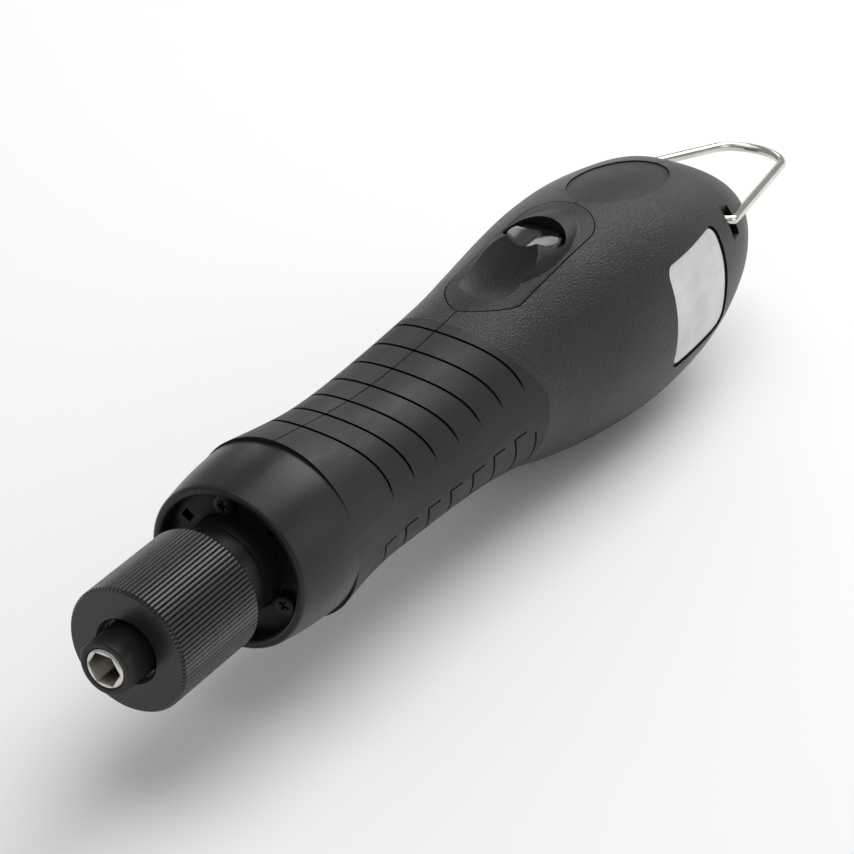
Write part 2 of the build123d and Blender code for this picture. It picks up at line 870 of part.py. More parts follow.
# Switch panel: thin skin with a thick middle that rises to the hood behind the switch
with BuildPart() as panel_block:
    add(form)
    add(
        ellipsoid(
            switch_station + hump_behind,
            hump_base,
            hump_half_length,
            hump_half_width,
            hump_height - hump_base,
        )
    )
    add(block_zone(-seat_gap), mode=Mode.INTERSECT)

pin_half = switch_hole_radius + 2.4
with BuildPart() as switch_panel:
    add(form)
    add(skin_form, mode=Mode.SUBTRACT)
    add(panel_zone(-seat_gap), mode=Mode.INTERSECT)
    add(panel_block.part)
    add(
        ellipsoid(
            scoop_station,
            scoop_centre_height,
            scoop_half_length,
            scoop_half_width,
            scoop_half_height,
            scoop_tilt,
        ),
        mode=Mode.SUBTRACT,
    )
    with BuildSketch(Plane.XY.offset(panel_block_bottom)):
        with Locations((switch_station, 0)):
            Circle(switch_hole_radius)
    extrude(amount=wide, mode=Mode.SUBTRACT)
    with BuildSketch(Plane.YZ.offset(switch_station - pin_half)):
        with Locations((0, rocker_pivot_height)):
            Circle(rocker_pin_radius)
    extrude(amount=2 * pin_half, mode=Mode.SUBTRACT)
finish(switch_panel.part, "switch_panel")

with BuildPart() as direction_rocker:
    with BuildSketch(Plane.YZ.offset(switch_station)):
        with BuildLine():
            Polyline(
                (-rocker_radius, rocker_bottom),
                (rocker_radius, rocker_bottom),
                (rocker_radius, rocker_top),
                (0, rocker_top - rocker_valley),
                (-rocker_radius, rocker_top),
                close=True,
            )
        make_face()
    extrude(amount=rocker_radius, both=True)
    with Locations((switch_station, 0, rocker_pivot_height)):
        Sphere(rocker_radius, mode=Mode.INTERSECT)
    with Locations((switch_station, 0, rocker_top - rocker_valley)):
        Box(rocker_radius * 1.4, rocker_mark_width, rocker_mark_width, mode=Mode.SUBTRACT)
    with BuildSketch(Plane.YZ.offset(switch_station)):
        with Locations((0, rocker_pivot_height)):
            Circle(rocker_pin_radius + running_gap)
    extrude(amount=rocker_radius, both=True, mode=Mode.SUBTRACT)
finish(direction_rocker.part, "direction_rocker")

with BuildPart() as rocker_pin:
    with BuildSketch(Plane.YZ.offset(switch_station - pin_half)):
        with Locations((0, rocker_pivot_height)):
            Circle(rocker_pin_radius)
    extrude(amount=2 * pin_half)
finish(rocker_pin.part, "rocker_pin")

switch_body = (16.0, 12.0, 12.0)
plunger_radius = 1.2
plunger_offset = 3.0
with BuildPart() as direction_switch:
    with Locations((switch_station, 0, panel_block_bottom - seat_gap)):
        Box(*switch_body, align=(Align.CENTER, Align.CENTER, Align.MAX))
    with BuildSketch(Plane.XY.offset(panel_block_bottom - seat_gap)):
        with Locations((switch_station, plunger_offset), (switch_station, -plunger_offset)):
            Circle(plunger_radius)
    extrude(amount=rocker_bottom - panel_block_bottom - 2 * free_gap)
finish(direction_switch.part, "direction_switch")

bail_seat = half_width_at(bail_station, bail_height) - bail_slot_depth
bail_end = bail_seat - bail_tip
spigot_seat = spigot_radius + seat_gap
ribs = [
    (input_plate_front + carrier_thickness, gear_case_radius + seat_gap),
    (can_front + motor_can_length * 0.15, motor_radius + seat_gap),
    (can_front + motor_can_length * 0.85, motor_radius + seat_gap),
    (spring_stop, rod_radius + free_gap),
]
rails = [board_front + board_overhang, board_front + board_length - board_overhang]

# Hollow of the handle, with its ribs, board rails, screw posts and bail bosses left standing
with BuildPart() as cavity:
    add(cavity_form)
    with BuildSketch(Plane.YZ.offset(handle_rear - handle_wall)):
        Rectangle(2 * wide, 2 * wide)
    extrude(amount=2 * handle_wall, mode=Mode.SUBTRACT)
    for station, seat in ribs:
        with BuildSketch(Plane.YZ.offset(station)):
            Rectangle(2 * wide, 2 * wide)
            Circle(seat, mode=Mode.SUBTRACT)
        extrude(amount=rib_thickness, mode=Mode.SUBTRACT)
    for station in rails:
        with BuildSketch(Plane.YZ.offset(station)):
            with Locations((0, board_height)):
                Rectangle(2 * wide, wide, align=(Align.CENTER, Align.MAX))
        extrude(amount=rib_thickness, mode=Mode.SUBTRACT)
    for station, height in posts:
        side_disc(station, height, post_radius, -wide, wide)
    for side in (-1, 1):
        side_disc(bail_station, bail_height, 3 * bail_wire_radius, side * (bail_end - 1), side * wide)


def pocket(zone, floor):
    """What a recess takes away: a zone less the form at the recess's floor."""
    with BuildPart() as cut:
        add(zone)
        add(floor, mode=Mode.SUBTRACT)
    return cut.part


def inlay(zone):
    """A thin plate that fills a shallow recess up to its face."""
    with BuildPart() as plate:
        add(inlay_form)
        add(recess_form, mode=Mode.SUBTRACT)
        add(zone, mode=Mode.INTERSECT)
    return plate.part


def label_zone(shrink):
    """Side view of the bare label, carried out through the right side."""
    with BuildPart() as zone:
        with BuildSketch(Plane.XZ):
            with Locations((label_front + label_length / 2, label_top - label_height / 2)):
                RectangleRounded(label_length - 2 * shrink, label_height - 2 * shrink, label_corner)
        extrude(amount=wide)
    return zone.part


def pad_zone(shrink):
    """Top view of the oval pad at the rear."""
    with BuildPart() as zone:
        with BuildSketch(Plane.XY):
            with Locations((pad_station, 0)):
                Ellipse(pad_half_length - shrink, pad_half_width - shrink)
        extrude(amount=wide)
    return zone.part


finish(inlay(label_zone(seat_gap)), "label_plate")
finish(inlay(pad_zone(seat_gap)), "top_pad")

with BuildPart() as shell:
    add(form)
    add(cavity.part, mode=Mode.SUBTRACT)
    bore(handle_front, handle_front + spigot_length + free_gap, spigot_seat)
    add(pocket(grip_zone(0), pocket_form), mode=Mode.SUBTRACT)
    add(pocket(panel_zone(0), pocket_form), mode=Mode.SUBTRACT)
    add(block_zone(0), mode=Mode.SUBTRACT)
    add(pocket(label_zone(0), recess_form), mode=Mode.SUBTRACT)
    add(pocket(pad_zone(0), recess_form), mode=Mode.SUBTRACT)
    for side in (-1, 1):
        hole_end = side * (bail_end - free_gap)
        side_disc(bail_station, bail_height, bail_wire_radius + running_gap, hole_end, side * wide)
        with Locations((bail_station, side * bail_seat, bail_height)):
            Box(
                bail_slot_width,
                wide,
                bail_slot_height,
                align=(Align.CENTER, Align.MIN if side > 0 else Align.MAX, Align.CENTER),
                mode=Mode.SUBTRACT,
            )
    with BuildSketch(Plane.YZ.offset(handle_rear - 2 * handle_wall)):
        with Locations((0, -connector_drop)):
            Circle(connector_radius + seat_gap)
    extrude(amount=3 * handle_wall, mode=Mode.SUBTRACT)

with BuildPart() as housing_left:
    add(shell.part)
    split(bisect_by=Plane.XZ, keep=Keep.BOTTOM)
    for station, height in posts:
        head_seat = half_width_at(station, height) - post_head_depth
        side_disc(station, height, screw_radius + 0.2, -1, head_seat + 1)
        side_disc(station, height, screw_head_radius + free_gap, head_seat, wide)
finish(housing_left.part, "housing_left")

with BuildPart() as housing_right:
    add(shell.part)
    split(bisect_by=Plane.XZ, keep=Keep.TOP)
    for station, height in posts:
        side_disc(station, height, screw_radius, -screw_bite, 1)
finish(housing_right.part, "housing_right")

with BuildPart() as housing_screws:
    for station, height in posts:
        head_seat = half_width_at(station, height) - post_head_depth
        head_end = head_seat + screw_head_height
        side_disc(station, height, screw_radius - 0.01, -screw_bite, head_seat, mode=Mode.ADD)
        side_disc(station, height, screw_head_radius, head_seat, head_end, mode=Mode.ADD)
finish(housing_screws.part, "housing_screws")

# Hanging bail: one bent wire whose tips turn in the bosses of the handle
droop = radians(bail_droop)
bail_plane = Plane(
    (bail_station, 0, bail_height),
    x_dir=(cos(droop), 0, -sin(droop)),
    z_dir=(sin(droop), 0, cos(droop)),
)
bail_corner = bail_half_width - bail_reach * tan(radians(bail_taper))
with BuildPart() as bail:
    with BuildLine(bail_plane):
        bail_path = FilletPolyline(
            (0, bail_end),
            (0, bail_half_width),
            (bail_reach, bail_corner),
            (bail_reach, -bail_corner),
            (0, -bail_half_width),
            (0, -bail_end),
            radius=[bail_elbow, min(bail_round, bail_corner), min(bail_round, bail_corner), bail_elbow],
        )
    with BuildSketch(Plane(origin=bail_path @ 0, z_dir=bail_path % 0)):
        Circle(bail_wire_radius)
    sweep(path=bail_path)
finish(bail.part, "bail")

# Rear connector: threaded barrel, lock nut, insulating insert and contact pins
connector_end = handle_rear + connector_length
connector_start = handle_rear - connector_inside
connector_bore = connector_radius - connector_wall


def connector_ring(start, end, outer, inner):
    """A round sleeve on the connector's own axis."""
    with BuildSketch(Plane.YZ.offset(start)) as outline:
        with Locations((0, -connector_drop)):
            Circle(outer)
            if inner:
                Circle(inner, mode=Mode.SUBTRACT)
    extrude(outline.sketch, amount=end - start)


with BuildPart() as connector_shell:
    connector_ring(connector_start, connector_end, connector_radius, connector_bore)
    connector_ring(handle_rear, handle_rear + connector_flange, connector_flange_radius, connector_bore)
finish(connector_shell.part, "connector_shell")

with BuildPart() as connector_nut:
    nut_seat = handle_rear - handle_wall
    thread_seat = connector_radius + seat_gap
    connector_ring(nut_seat - connector_nut_length, nut_seat, connector_flange_radius, thread_seat)
finish(connector_nut.part, "connector_nut")

with BuildPart() as connector_insert:
    connector_ring(connector_start + 1, handle_rear + 1, connector_bore - seat_gap / 2, 0)
    with BuildSketch(Plane.YZ.offset(connector_start)):
        with Locations((0, -connector_drop)):
            with PolarLocations(connector_pin_circle, connector_pin_count):
                Circle(connector_pin_radius + 0.01)
    extrude(amount=connector_inside + connector_length, mode=Mode.SUBTRACT)
finish(connector_insert.part, "connector_insert")

with BuildPart() as connector_pins:
    with BuildSketch(Plane.YZ.offset(connector_start)):
        with Locations((0, -connector_drop)):
            with PolarLocations(connector_pin_circle, connector_pin_count):
                Circle(connector_pin_radius)
    extrude(amount=connector_inside + connector_length - 1)
finish(connector_pins.part, "connector_pins")

# Control board with its parts and the sensor that the start rod's tail enters
with BuildPart() as control_board:
    with Locations((board_front, 0, board_height)):
        Box(board_length, board_width, board_thickness, align=(Align.MIN, Align.CENTER, Align.MIN))
finish(control_board.part, "control_board")

sensor_length = 6.0
sensor_width = 9.0
sensor_slot = 3.4
sensor_top = 3.6
with BuildPart() as start_sensor:
    with Locations((rod_rear - sensor_length / 2, 0, board_top)):
        Box(sensor_length, sensor_width, sensor_top - board_top, align=(Align.MIN, Align.CENTER, Align.MIN))
    with Locations((rod_rear - sensor_length / 2, 0, -rod_radius - 2 * free_gap)):
        Box(sensor_length, sensor_slot, wide, align=(Align.MIN, Align.CENTER, Align.MIN), mode=Mode.SUBTRACT)
finish(start_sensor.part, "start_sensor")

capacitor_radius = 4.0
capacitor_height = 11.0
driver_size = (5.0, 4.0, 1.6)
with BuildPart() as board_parts:
    with BuildSketch(Plane.XY.offset(board_top)):
        with Locations((board_front + board_length - 8, 7), (board_front + board_length - 8, -7)):
            Circle(capacitor_radius)
    extrude(amount=capacitor_height)
    with Locations((board_front + board_length / 2, 0, board_top)):
        with GridLocations(8, 9, 3, 2):
            Box(*driver_size, align=(Align.CENTER, Align.CENTER, Align.MIN))
finish(board_parts.part, "board_parts")
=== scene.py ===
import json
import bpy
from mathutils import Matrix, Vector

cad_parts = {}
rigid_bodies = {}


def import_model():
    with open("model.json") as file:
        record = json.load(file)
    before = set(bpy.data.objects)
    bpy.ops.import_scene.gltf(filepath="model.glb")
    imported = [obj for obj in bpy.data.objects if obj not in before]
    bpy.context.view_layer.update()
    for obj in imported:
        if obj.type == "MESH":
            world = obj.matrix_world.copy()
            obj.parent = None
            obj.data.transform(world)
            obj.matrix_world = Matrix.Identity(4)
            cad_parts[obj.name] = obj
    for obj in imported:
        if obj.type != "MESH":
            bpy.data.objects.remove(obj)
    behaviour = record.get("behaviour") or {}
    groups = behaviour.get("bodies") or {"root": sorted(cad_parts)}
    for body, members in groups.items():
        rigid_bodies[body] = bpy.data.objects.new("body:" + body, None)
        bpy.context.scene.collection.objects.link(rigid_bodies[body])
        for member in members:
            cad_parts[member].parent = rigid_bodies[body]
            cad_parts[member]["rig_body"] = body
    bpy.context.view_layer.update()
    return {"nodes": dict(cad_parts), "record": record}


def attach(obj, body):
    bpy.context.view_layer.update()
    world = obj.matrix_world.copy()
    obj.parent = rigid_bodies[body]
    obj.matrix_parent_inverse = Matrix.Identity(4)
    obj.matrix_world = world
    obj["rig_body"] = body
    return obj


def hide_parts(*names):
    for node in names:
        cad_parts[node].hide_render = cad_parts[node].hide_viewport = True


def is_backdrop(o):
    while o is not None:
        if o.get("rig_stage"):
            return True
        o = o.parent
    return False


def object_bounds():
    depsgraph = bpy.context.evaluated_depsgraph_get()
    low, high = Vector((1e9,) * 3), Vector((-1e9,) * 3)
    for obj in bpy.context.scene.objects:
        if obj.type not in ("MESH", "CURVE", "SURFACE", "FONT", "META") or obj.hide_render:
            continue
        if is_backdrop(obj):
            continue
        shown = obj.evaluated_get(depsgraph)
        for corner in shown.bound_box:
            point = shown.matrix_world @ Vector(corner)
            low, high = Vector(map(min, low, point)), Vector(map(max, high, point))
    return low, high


bl_info = {
    "name": "Electric Torque Screwdriver",
    "version": (1, 0, 0),
    "blender": (4, 5, 0),
    "location": "3D View > Sidebar > Screwdriver",
    "description": "Dresses the packed torque screwdriver with its outside pieces and finishes",
    "category": "Object",
}

from math import atan, cos, pi, radians, sin, tan

import bpy
from mathutils import Vector

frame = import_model()
NODES = frame["nodes"]
MM = 0.001
OVER = 40 * MM  # how far a cutting bar reaches past the handle

# Stations are counted along the tool axis from the bit holder's front face, heights from the axis

# Front cap: its outside swells from the lip to the handle, its bore steps in behind the plate
CAP_FRONT = 40 * MM
CAP_LENGTH = 17.2 * MM
CAP_LIP_RADIUS = 17.9 * MM
CAP_FLARE = 1.8 * MM
CAP_SWELL = 1.4 * MM
CAP_BORE = 16.1 * MM
CAP_SPIGOT_REAR = 62.2 * MM
CAP_SPIGOT_RADIUS = 16.5 * MM
CAP_INNER_RADIUS = 15.3 * MM
PLATE_SEAT = 55.2 * MM

# Torque nut
NUT_FRONT = 7 * MM
NUT_REAR = 31.9 * MM
NUT_RADIUS = 13.5 * MM
NUT_MOUTH = 6.6 * MM
NUT_BORE = 10.06 * MM
NUT_BORE_FRONT = 10 * MM
KNURL = (0.0, 0.1, 1.0, 0.1)  # depth of the knurl at the four points of each ridge, as shares

# Collar of the bit holder
COLLAR_FRONT = 0.2 * MM
COLLAR_REAR = 12 * MM
COLLAR_RADIUS = 5.8 * MM
COLLAR_BORE = 4.36 * MM
COLLAR_SPRING_BORE = 5.1 * MM
COLLAR_SPRING_SEAT = 10.2 * MM

# Handle and grip
HANDLE_FRONT = CAP_FRONT + CAP_LENGTH
HANDLE_LENGTH = 176 * MM
HANDLE_REAR = HANDLE_FRONT + HANDLE_LENGTH
REAR_ROUND = 2.2 * MM
GRIP_REAR = HANDLE_FRONT + 74 * MM
GRIP_LEAN = radians(33)
SEAM = 0.12 * MM
FIT = 0.03 * MM

# Grooves round the top and the sides of the grip, and on its belly
GROOVES = 7
GROOVE_START = HANDLE_FRONT + 9.8 * MM
GROOVE_PITCH = 8.33 * MM
GROOVE_END = 4 * MM
GROOVE_TAPER = 3 * MM
GROOVE_SLOPE = 1.04
GROOVE_BEND = 40
BELLY_GROOVES = 8
BELLY_START = HANDLE_FRONT + 12.6 * MM
BELLY_PITCH = 8.1 * MM
BELLY_TOP = -5 * MM
BELLY_LAST_TOP = -7 * MM
BELLY_LEAN = radians(20)
BELLY_TAIL = 4.5 * MM

# Screws of the left half: station and height, the first one through the grip
SCREWS = [
    (HANDLE_FRONT + 42.8 * MM, -15.3 * MM),
    (HANDLE_FRONT + 78 * MM, -20 * MM),
    (HANDLE_FRONT + 148 * MM, -24 * MM),
    (HANDLE_FRONT + 139 * MM, 10 * MM),
]
SCREW_HOLE_RADIUS = 2.5 * MM
SCREW_HOLE_DEPTH = 5 * MM

# Switch panel: outline, block under it, hood, scoop and the rocker's oval hole
SWITCH_STATION = 157.2 * MM
PANEL_FRONT = 125.5 * MM
PANEL_REAR = 175 * MM
PANEL_HALF_WIDTH = 9.1 * MM
PANEL_NOSE = 12 * MM
PANEL_POWER = 1.45
CORE_STATION = 153.2 * MM
CORE_HALF_LENGTH = 20 * MM
CORE_HALF_WIDTH = 9 * MM
CORE_FLOOR = 14.5 * MM
HOOD_STATION = 156 * MM
HOOD_HEIGHT = 16.9 * MM
HOOD_SIZES = (20 * MM, 8.6 * MM, 5.9 * MM)
SCOOP_STATION = 143.6 * MM
SCOOP_HEIGHT = 22.9 * MM
SCOOP_SIZES = (13.4 * MM, 10.5 * MM, 5.2 * MM)
SCOOP_TILT = radians(21)
ROCKER_STATION = 157.6 * MM
ROCKER_HOLE = (6.25 * MM, 7.15 * MM)
ROCKER_LENGTH_SHARE = 0.86

# Oval pad and label
PAD_STATION = 195 * MM
PAD_HALF_LENGTH = 18 * MM
PAD_HALF_WIDTH = 9 * MM
PAD_GAP = 0.1 * MM
LABEL_FRONT = 179.2 * MM
LABEL_REAR = 204.8 * MM
LABEL_LOW = -17 * MM
LABEL_HIGH = 8.5 * MM
LABEL_CORNER = 3 * MM
LABEL_NEAR_GAP = 0.4 * MM
LABEL_FAR_GAP = 1.1 * MM
RECESS_DEPTH = 0.5 * MM
INLAY_DEPTH = 0.3 * MM

# Bail and connector
BAIL_STATION = 213.2 * MM
BAIL_HEIGHT = 4.7 * MM
BAIL_DROOP = radians(10.5)
BAIL_TAPER = atan(0.2298)
BAIL_HALF_WIDTH = 20 * MM
BAIL_REACH = 46 * MM
BAIL_BEND = 9.2 * MM
BAIL_ELBOW = 2.2 * MM
BAIL_TIP = 4.6 * MM
WIRE_RADIUS = 1.15 * MM
SLOT_DEPTH = 2.6 * MM
SLOT_HALF_WIDTH = 2 * MM
SLOT_LOW = 1.2 * MM
SLOT_HIGH = 8.8 * MM
CONNECTOR_DROP = 6.7 * MM
CONNECTOR_RADIUS = 6.05 * MM

# Studio: each lamp has a place, a point it looks at, a size and a power. The camera stands where
# the photograph's stood, as solved from the tool's round edges and its axis
FLOOR_GAP = 0.5 * MM
FLOOR_COLOUR = (0.94, 0.94, 0.94, 1)
WORLD_STRENGTH = 0.40
LAMPS = (
    ("top_box", (0.1, -0.1, 1.0), (0.16, 0, 0), 0.9, 3.6),
    ("side_box", (0.5, -0.9, 0.35), (0.15, 0, 0), 0.6, 1.2),
    ("back_box", (1.08, -0.12, 0.82), (0.16, 0, 0), 0.8, 8.5),
    ("rim_box", (1.03, 0.69, 0.45), (0.16, 0, 0), 0.4, 1.0),
)
CAMERA_LENS = 143.3
CAMERA_PLACE = (-0.4081, -0.3263, 0.3675)
CAMERA_AIM = (0.7251, 0.4534, -0.5182)

# Sections of the handle: share of its length, height above the tool axis, drop of the
# section's centre below the axis and half width, in millimetres
SECTIONS = [
    (0.000, 20.5, 0.2, 19.6),
    (0.057, 18.7, 0.7, 18.3),
    (0.115, 17.0, 1.4, 17.7),
    (0.180, 15.8, 2.2, 18.0),
    (0.255, 15.5, 2.7, 18.5),
    (0.340, 16.3, 3.4, 18.9),
    (0.425, 17.8, 4.6, 19.9),
    (0.510, 19.5, 6.2, 21.8),
    (0.597, 20.6, 7.0, 23.7),
    (0.682, 20.7, 7.2, 24.9),
    (0.767, 19.3, 7.0, 24.9),
    (0.852, 16.2, 6.8, 23.6),
    (0.920, 12.4, 6.7, 21.0),
    (0.965, 8.0, 6.7, 17.6),
    (1.000, 3.2, 6.7, 12.8),
]

# How full the sections are: share of the length, power of the upper and of the lower half
# (2 is an ellipse) and how far the lower half is drawn up, in millimetres
FULLNESS = [
    (0.00, 2.00, 2.20, 1.0),
    (0.20, 2.06, 2.16, 1.3),
    (0.35, 2.06, 2.10, 1.7),
    (0.45, 1.96, 1.85, 1.4),
    (0.55, 2.00, 1.80, 0.8),
    (0.65, 2.10, 1.95, 0.2),
    (0.75, 2.18, 2.20, 0.1),
    (0.85, 2.22, 2.35, 0.0),
    (0.95, 2.50, 2.10, 0.0),
    (1.00, 2.50, 2.00, 0.0),
]


class HandleSizes(bpy.types.PropertyGroup):
    """Sizes of the moulded handle that a user would change."""

    around: bpy.props.IntProperty(
        name="Points around", description="Points round each section of the handle", default=96, min=24
    )
    along: bpy.props.IntProperty(
        name="Sections along",
        description="Sections between the front and the rear of the handle",
        default=96,
        min=12,
    )
    skin: bpy.props.FloatProperty(
        name="Skin", description="Thickness of the rubber grip", default=1.4 * MM, unit="LENGTH"
    )
    wall: bpy.props.FloatProperty(
        name="Wall", description="Thickness of the shell's wall", default=3 * MM, unit="LENGTH"
    )
    groove_width: bpy.props.FloatProperty(
        name="Groove width", description="Width of the grip's grooves", default=0.75 * MM, unit="LENGTH"
    )
    groove_depth: bpy.props.FloatProperty(
        name="Groove depth", description="Depth of the grip's grooves", default=0.8 * MM, unit="LENGTH"
    )


class NutSizes(bpy.types.PropertyGroup):
    """Sizes of the knurled torque nut that a user would change."""

    teeth: bpy.props.IntProperty(name="Knurl teeth", description="Ridges round the nut", default=90, min=12)
    depth: bpy.props.FloatProperty(
        name="Knurl depth", description="Depth of the knurl", default=0.42 * MM, unit="LENGTH"
    )
    chamfer: bpy.props.FloatProperty(
        name="Chamfer", description="Chamfer of the nut's ends", default=0.7 * MM, unit="LENGTH"
    )


class FinishColours(bpy.types.PropertyGroup):
    """Colours of the main finishes."""

    shell: bpy.props.FloatVectorProperty(
        name="Shell",
        description="Colour of the moulded shell",
        subtype="COLOR",
        default=(0.010, 0.010, 0.0105),
    )
    rubber: bpy.props.FloatVectorProperty(
        name="Rubber",
        description="Colour of the rubber grip",
        subtype="COLOR",
        default=(0.011, 0.011, 0.0105),
    )
    cap: bpy.props.FloatVectorProperty(
        name="Cap", description="Colour of the front cap", subtype="COLOR", default=(0.010, 0.0105, 0.011)
    )
    nut: bpy.props.FloatVectorProperty(
        name="Nut", description="Colour of the anodised nut", subtype="COLOR", default=(0.012, 0.012, 0.012)
    )
    steel: bpy.props.FloatVectorProperty(
        name="Steel",
        description="Colour of the bright steel parts",
        subtype="COLOR",
        default=(0.62, 0.60, 0.56),
    )
    label: bpy.props.FloatVectorProperty(
        name="Label",
        description="Colour of the bare foil label",
        subtype="COLOR",
        default=(0.60, 0.61, 0.62),
    )


# Finishes


def new_finish(name, colour, roughness, metallic=0.0, gloss=0.5):
    """A material with its Principled shader and Object coordinates, ready for detail."""
    finish = bpy.data.materials.new(name)
    finish.use_nodes = True
    nodes = finish.node_tree.nodes
    shader = nodes["Principled BSDF"]
    shader.inputs["Base Color"].default_value = (*colour, 1)
    shader.inputs["Roughness"].default_value = roughness
    shader.inputs["Metallic"].default_value = metallic
    shader.inputs["Specular IOR Level"].default_value = gloss
    place = nodes.new("ShaderNodeTexCoord")
    return finish, shader, place.outputs["Object"]


def noise(finish, place, scale, detail=2.0, roughness=0.5, stretch=None):
    """A noise pattern on the piece, with its grain stretched along one axis if asked."""
    nodes, links = finish.node_tree.nodes, finish.node_tree.links
    if stretch:
        mapping = nodes.new("ShaderNodeMapping")
        mapping.inputs["Scale"].default_value = stretch
        links.new(place, mapping.inputs["Vector"])
        place = mapping.outputs["Vector"]
    pattern = nodes.new("ShaderNodeTexNoise")
    pattern.inputs["Scale"].default_value = scale
    pattern.inputs["Detail"].default_value = detail
    pattern.inputs["Roughness"].default_value = roughness
    links.new(place, pattern.inputs["Vector"])
    return pattern.outputs["Fac"]


def spread(finish, value, low, high, from_low=0.3, from_high=0.7):
    """Spreads a pattern between two numbers."""
    nodes, links = finish.node_tree.nodes, finish.node_tree.links
    ranged = nodes.new("ShaderNodeMapRange")
    ranged.inputs["From Min"].default_value = from_low
    ranged.inputs["From Max"].default_value = from_high
    ranged.inputs["To Min"].default_value = low
    ranged.inputs["To Max"].default_value = high
    links.new(value, ranged.inputs["Value"])
    return ranged.outputs["Result"]


def tint(finish, shader, value, dark, light):
    """Varies the base colour between two colours."""
    nodes, links = finish.node_tree.nodes, finish.node_tree.links
    ramp = nodes.new("ShaderNodeValToRGB")
    ramp.color_ramp.elements[0].position = 0.3
    ramp.color_ramp.elements[0].color = (*dark, 1)
    ramp.color_ramp.elements[1].position = 0.7
    ramp.color_ramp.elements[1].color = (*light, 1)
    links.new(value, ramp.inputs["Fac"])
    links.new(ramp.outputs["Color"], shader.inputs["Base Color"])


def bump(finish, shader, height, strength, distance):
    """Raises a pattern as bump."""
    nodes, links = finish.node_tree.nodes, finish.node_tree.links
    relief = nodes.new("ShaderNodeBump")
    relief.inputs["Strength"].default_value = strength
    relief.inputs["Distance"].default_value = distance
    links.new(height, relief.inputs["Height"])
    links.new(relief.outputs["Normal"], shader.inputs["Normal"])


def shade(colour, factor):
    """A colour made darker or lighter by a factor."""
    return tuple(min(1.0, channel * factor) for channel in colour)


def moulded_finish(name, colour, roughness, grain, strength, wear=0.06, gloss=0.25):
    """Moulded plastic or rubber with a fine grain and slight unevenness from handling."""
    finish, shader, place = new_finish(name, colour, roughness, gloss=gloss)
    fine = noise(finish, place, grain, detail=3.0)
    broad = noise(finish, place, 55.0, detail=4.0)
    tint(finish, shader, fine, shade(colour, 0.6), shade(colour, 1.4))
    rough = spread(finish, broad, roughness - wear, roughness + wear)
    finish.node_tree.links.new(rough, shader.inputs["Roughness"])
    bump(finish, shader, fine, strength, 0.00025)
    return finish


def rubber_finish(name, colour):
    """Soft-touch rubber: fine grain, and faint streaks where the mould flowed."""
    finish, shader, place = new_finish(name, colour, 0.5, gloss=0.25)
    fine = noise(finish, place, 3000.0, detail=2.0)
    streaks = noise(finish, place, 260.0, detail=5.0, roughness=0.65, stretch=(0.18, 1.0, 1.0))
    tint(finish, shader, streaks, shade(colour, 0.85), shade(colour, 1.2))
    rough = spread(finish, streaks, 0.42, 0.58)
    finish.node_tree.links.new(rough, shader.inputs["Roughness"])
    bump(finish, shader, fine, 0.35, 0.0001)
    return finish


def turned_finish(name, colour, roughness, metallic, gloss=0.5):
    """Turned metal: fine rings round the tool axis with slight unevenness."""
    finish, shader, place = new_finish(name, colour, roughness, metallic, gloss)
    rings = noise(finish, place, 2400.0, detail=3.0, stretch=(1.0, 0.02, 0.02))
    broad = noise(finish, place, 90.0, detail=3.0)
    tint(finish, shader, broad, shade(colour, 0.9), shade(colour, 1.1))
    rough = spread(finish, rings, roughness * 0.8, roughness * 1.25)
    finish.node_tree.links.new(rough, shader.inputs["Roughness"])
    bump(finish, shader, rings, 0.2, 0.00003)
    return finish


def faced_finish(name, colour, roughness, metallic):
    """A face turned on a lathe: rings that run round the tool axis."""
    finish, shader, place = new_finish(name, colour, roughness, metallic)
    nodes, links = finish.node_tree.nodes, finish.node_tree.links
    wave = nodes.new("ShaderNodeTexWave")
    wave.wave_type = "RINGS"
    wave.rings_direction = "X"
    wave.inputs["Scale"].default_value = 900.0
    wave.inputs["Distortion"].default_value = 0.6
    wave.inputs["Detail"].default_value = 2.0
    links.new(place, wave.inputs["Vector"])
    broad = noise(finish, place, 120.0, detail=3.0)
    tint(finish, shader, broad, shade(colour, 0.85), shade(colour, 1.15))
    rough = spread(finish, wave.outputs["Fac"], roughness * 0.85, roughness * 1.15, 0.0, 1.0)
    links.new(rough, shader.inputs["Roughness"])
    bump(finish, shader, wave.outputs["Fac"], 0.10, 0.00002)
    return finish


def plain_metal(name, colour, roughness, metallic=1.0, stretch=None):
    """Ground, drawn or plated metal with faint scratches and clouding."""
    finish, shader, place = new_finish(name, colour, roughness, metallic)
    scratches = noise(finish, place, 700.0, detail=5.0, roughness=0.7, stretch=stretch)
    clouds = noise(finish, place, 110.0, detail=3.0)
    tint(finish, shader, clouds, shade(colour, 0.88), shade(colour, 1.08))
    rough = spread(finish, scratches, roughness * 0.7, roughness * 1.4)
    finish.node_tree.links.new(rough, shader.inputs["Roughness"])
    bump(finish, shader, scratches, 0.08, 0.00003)
    return finish


FINISHES = {}


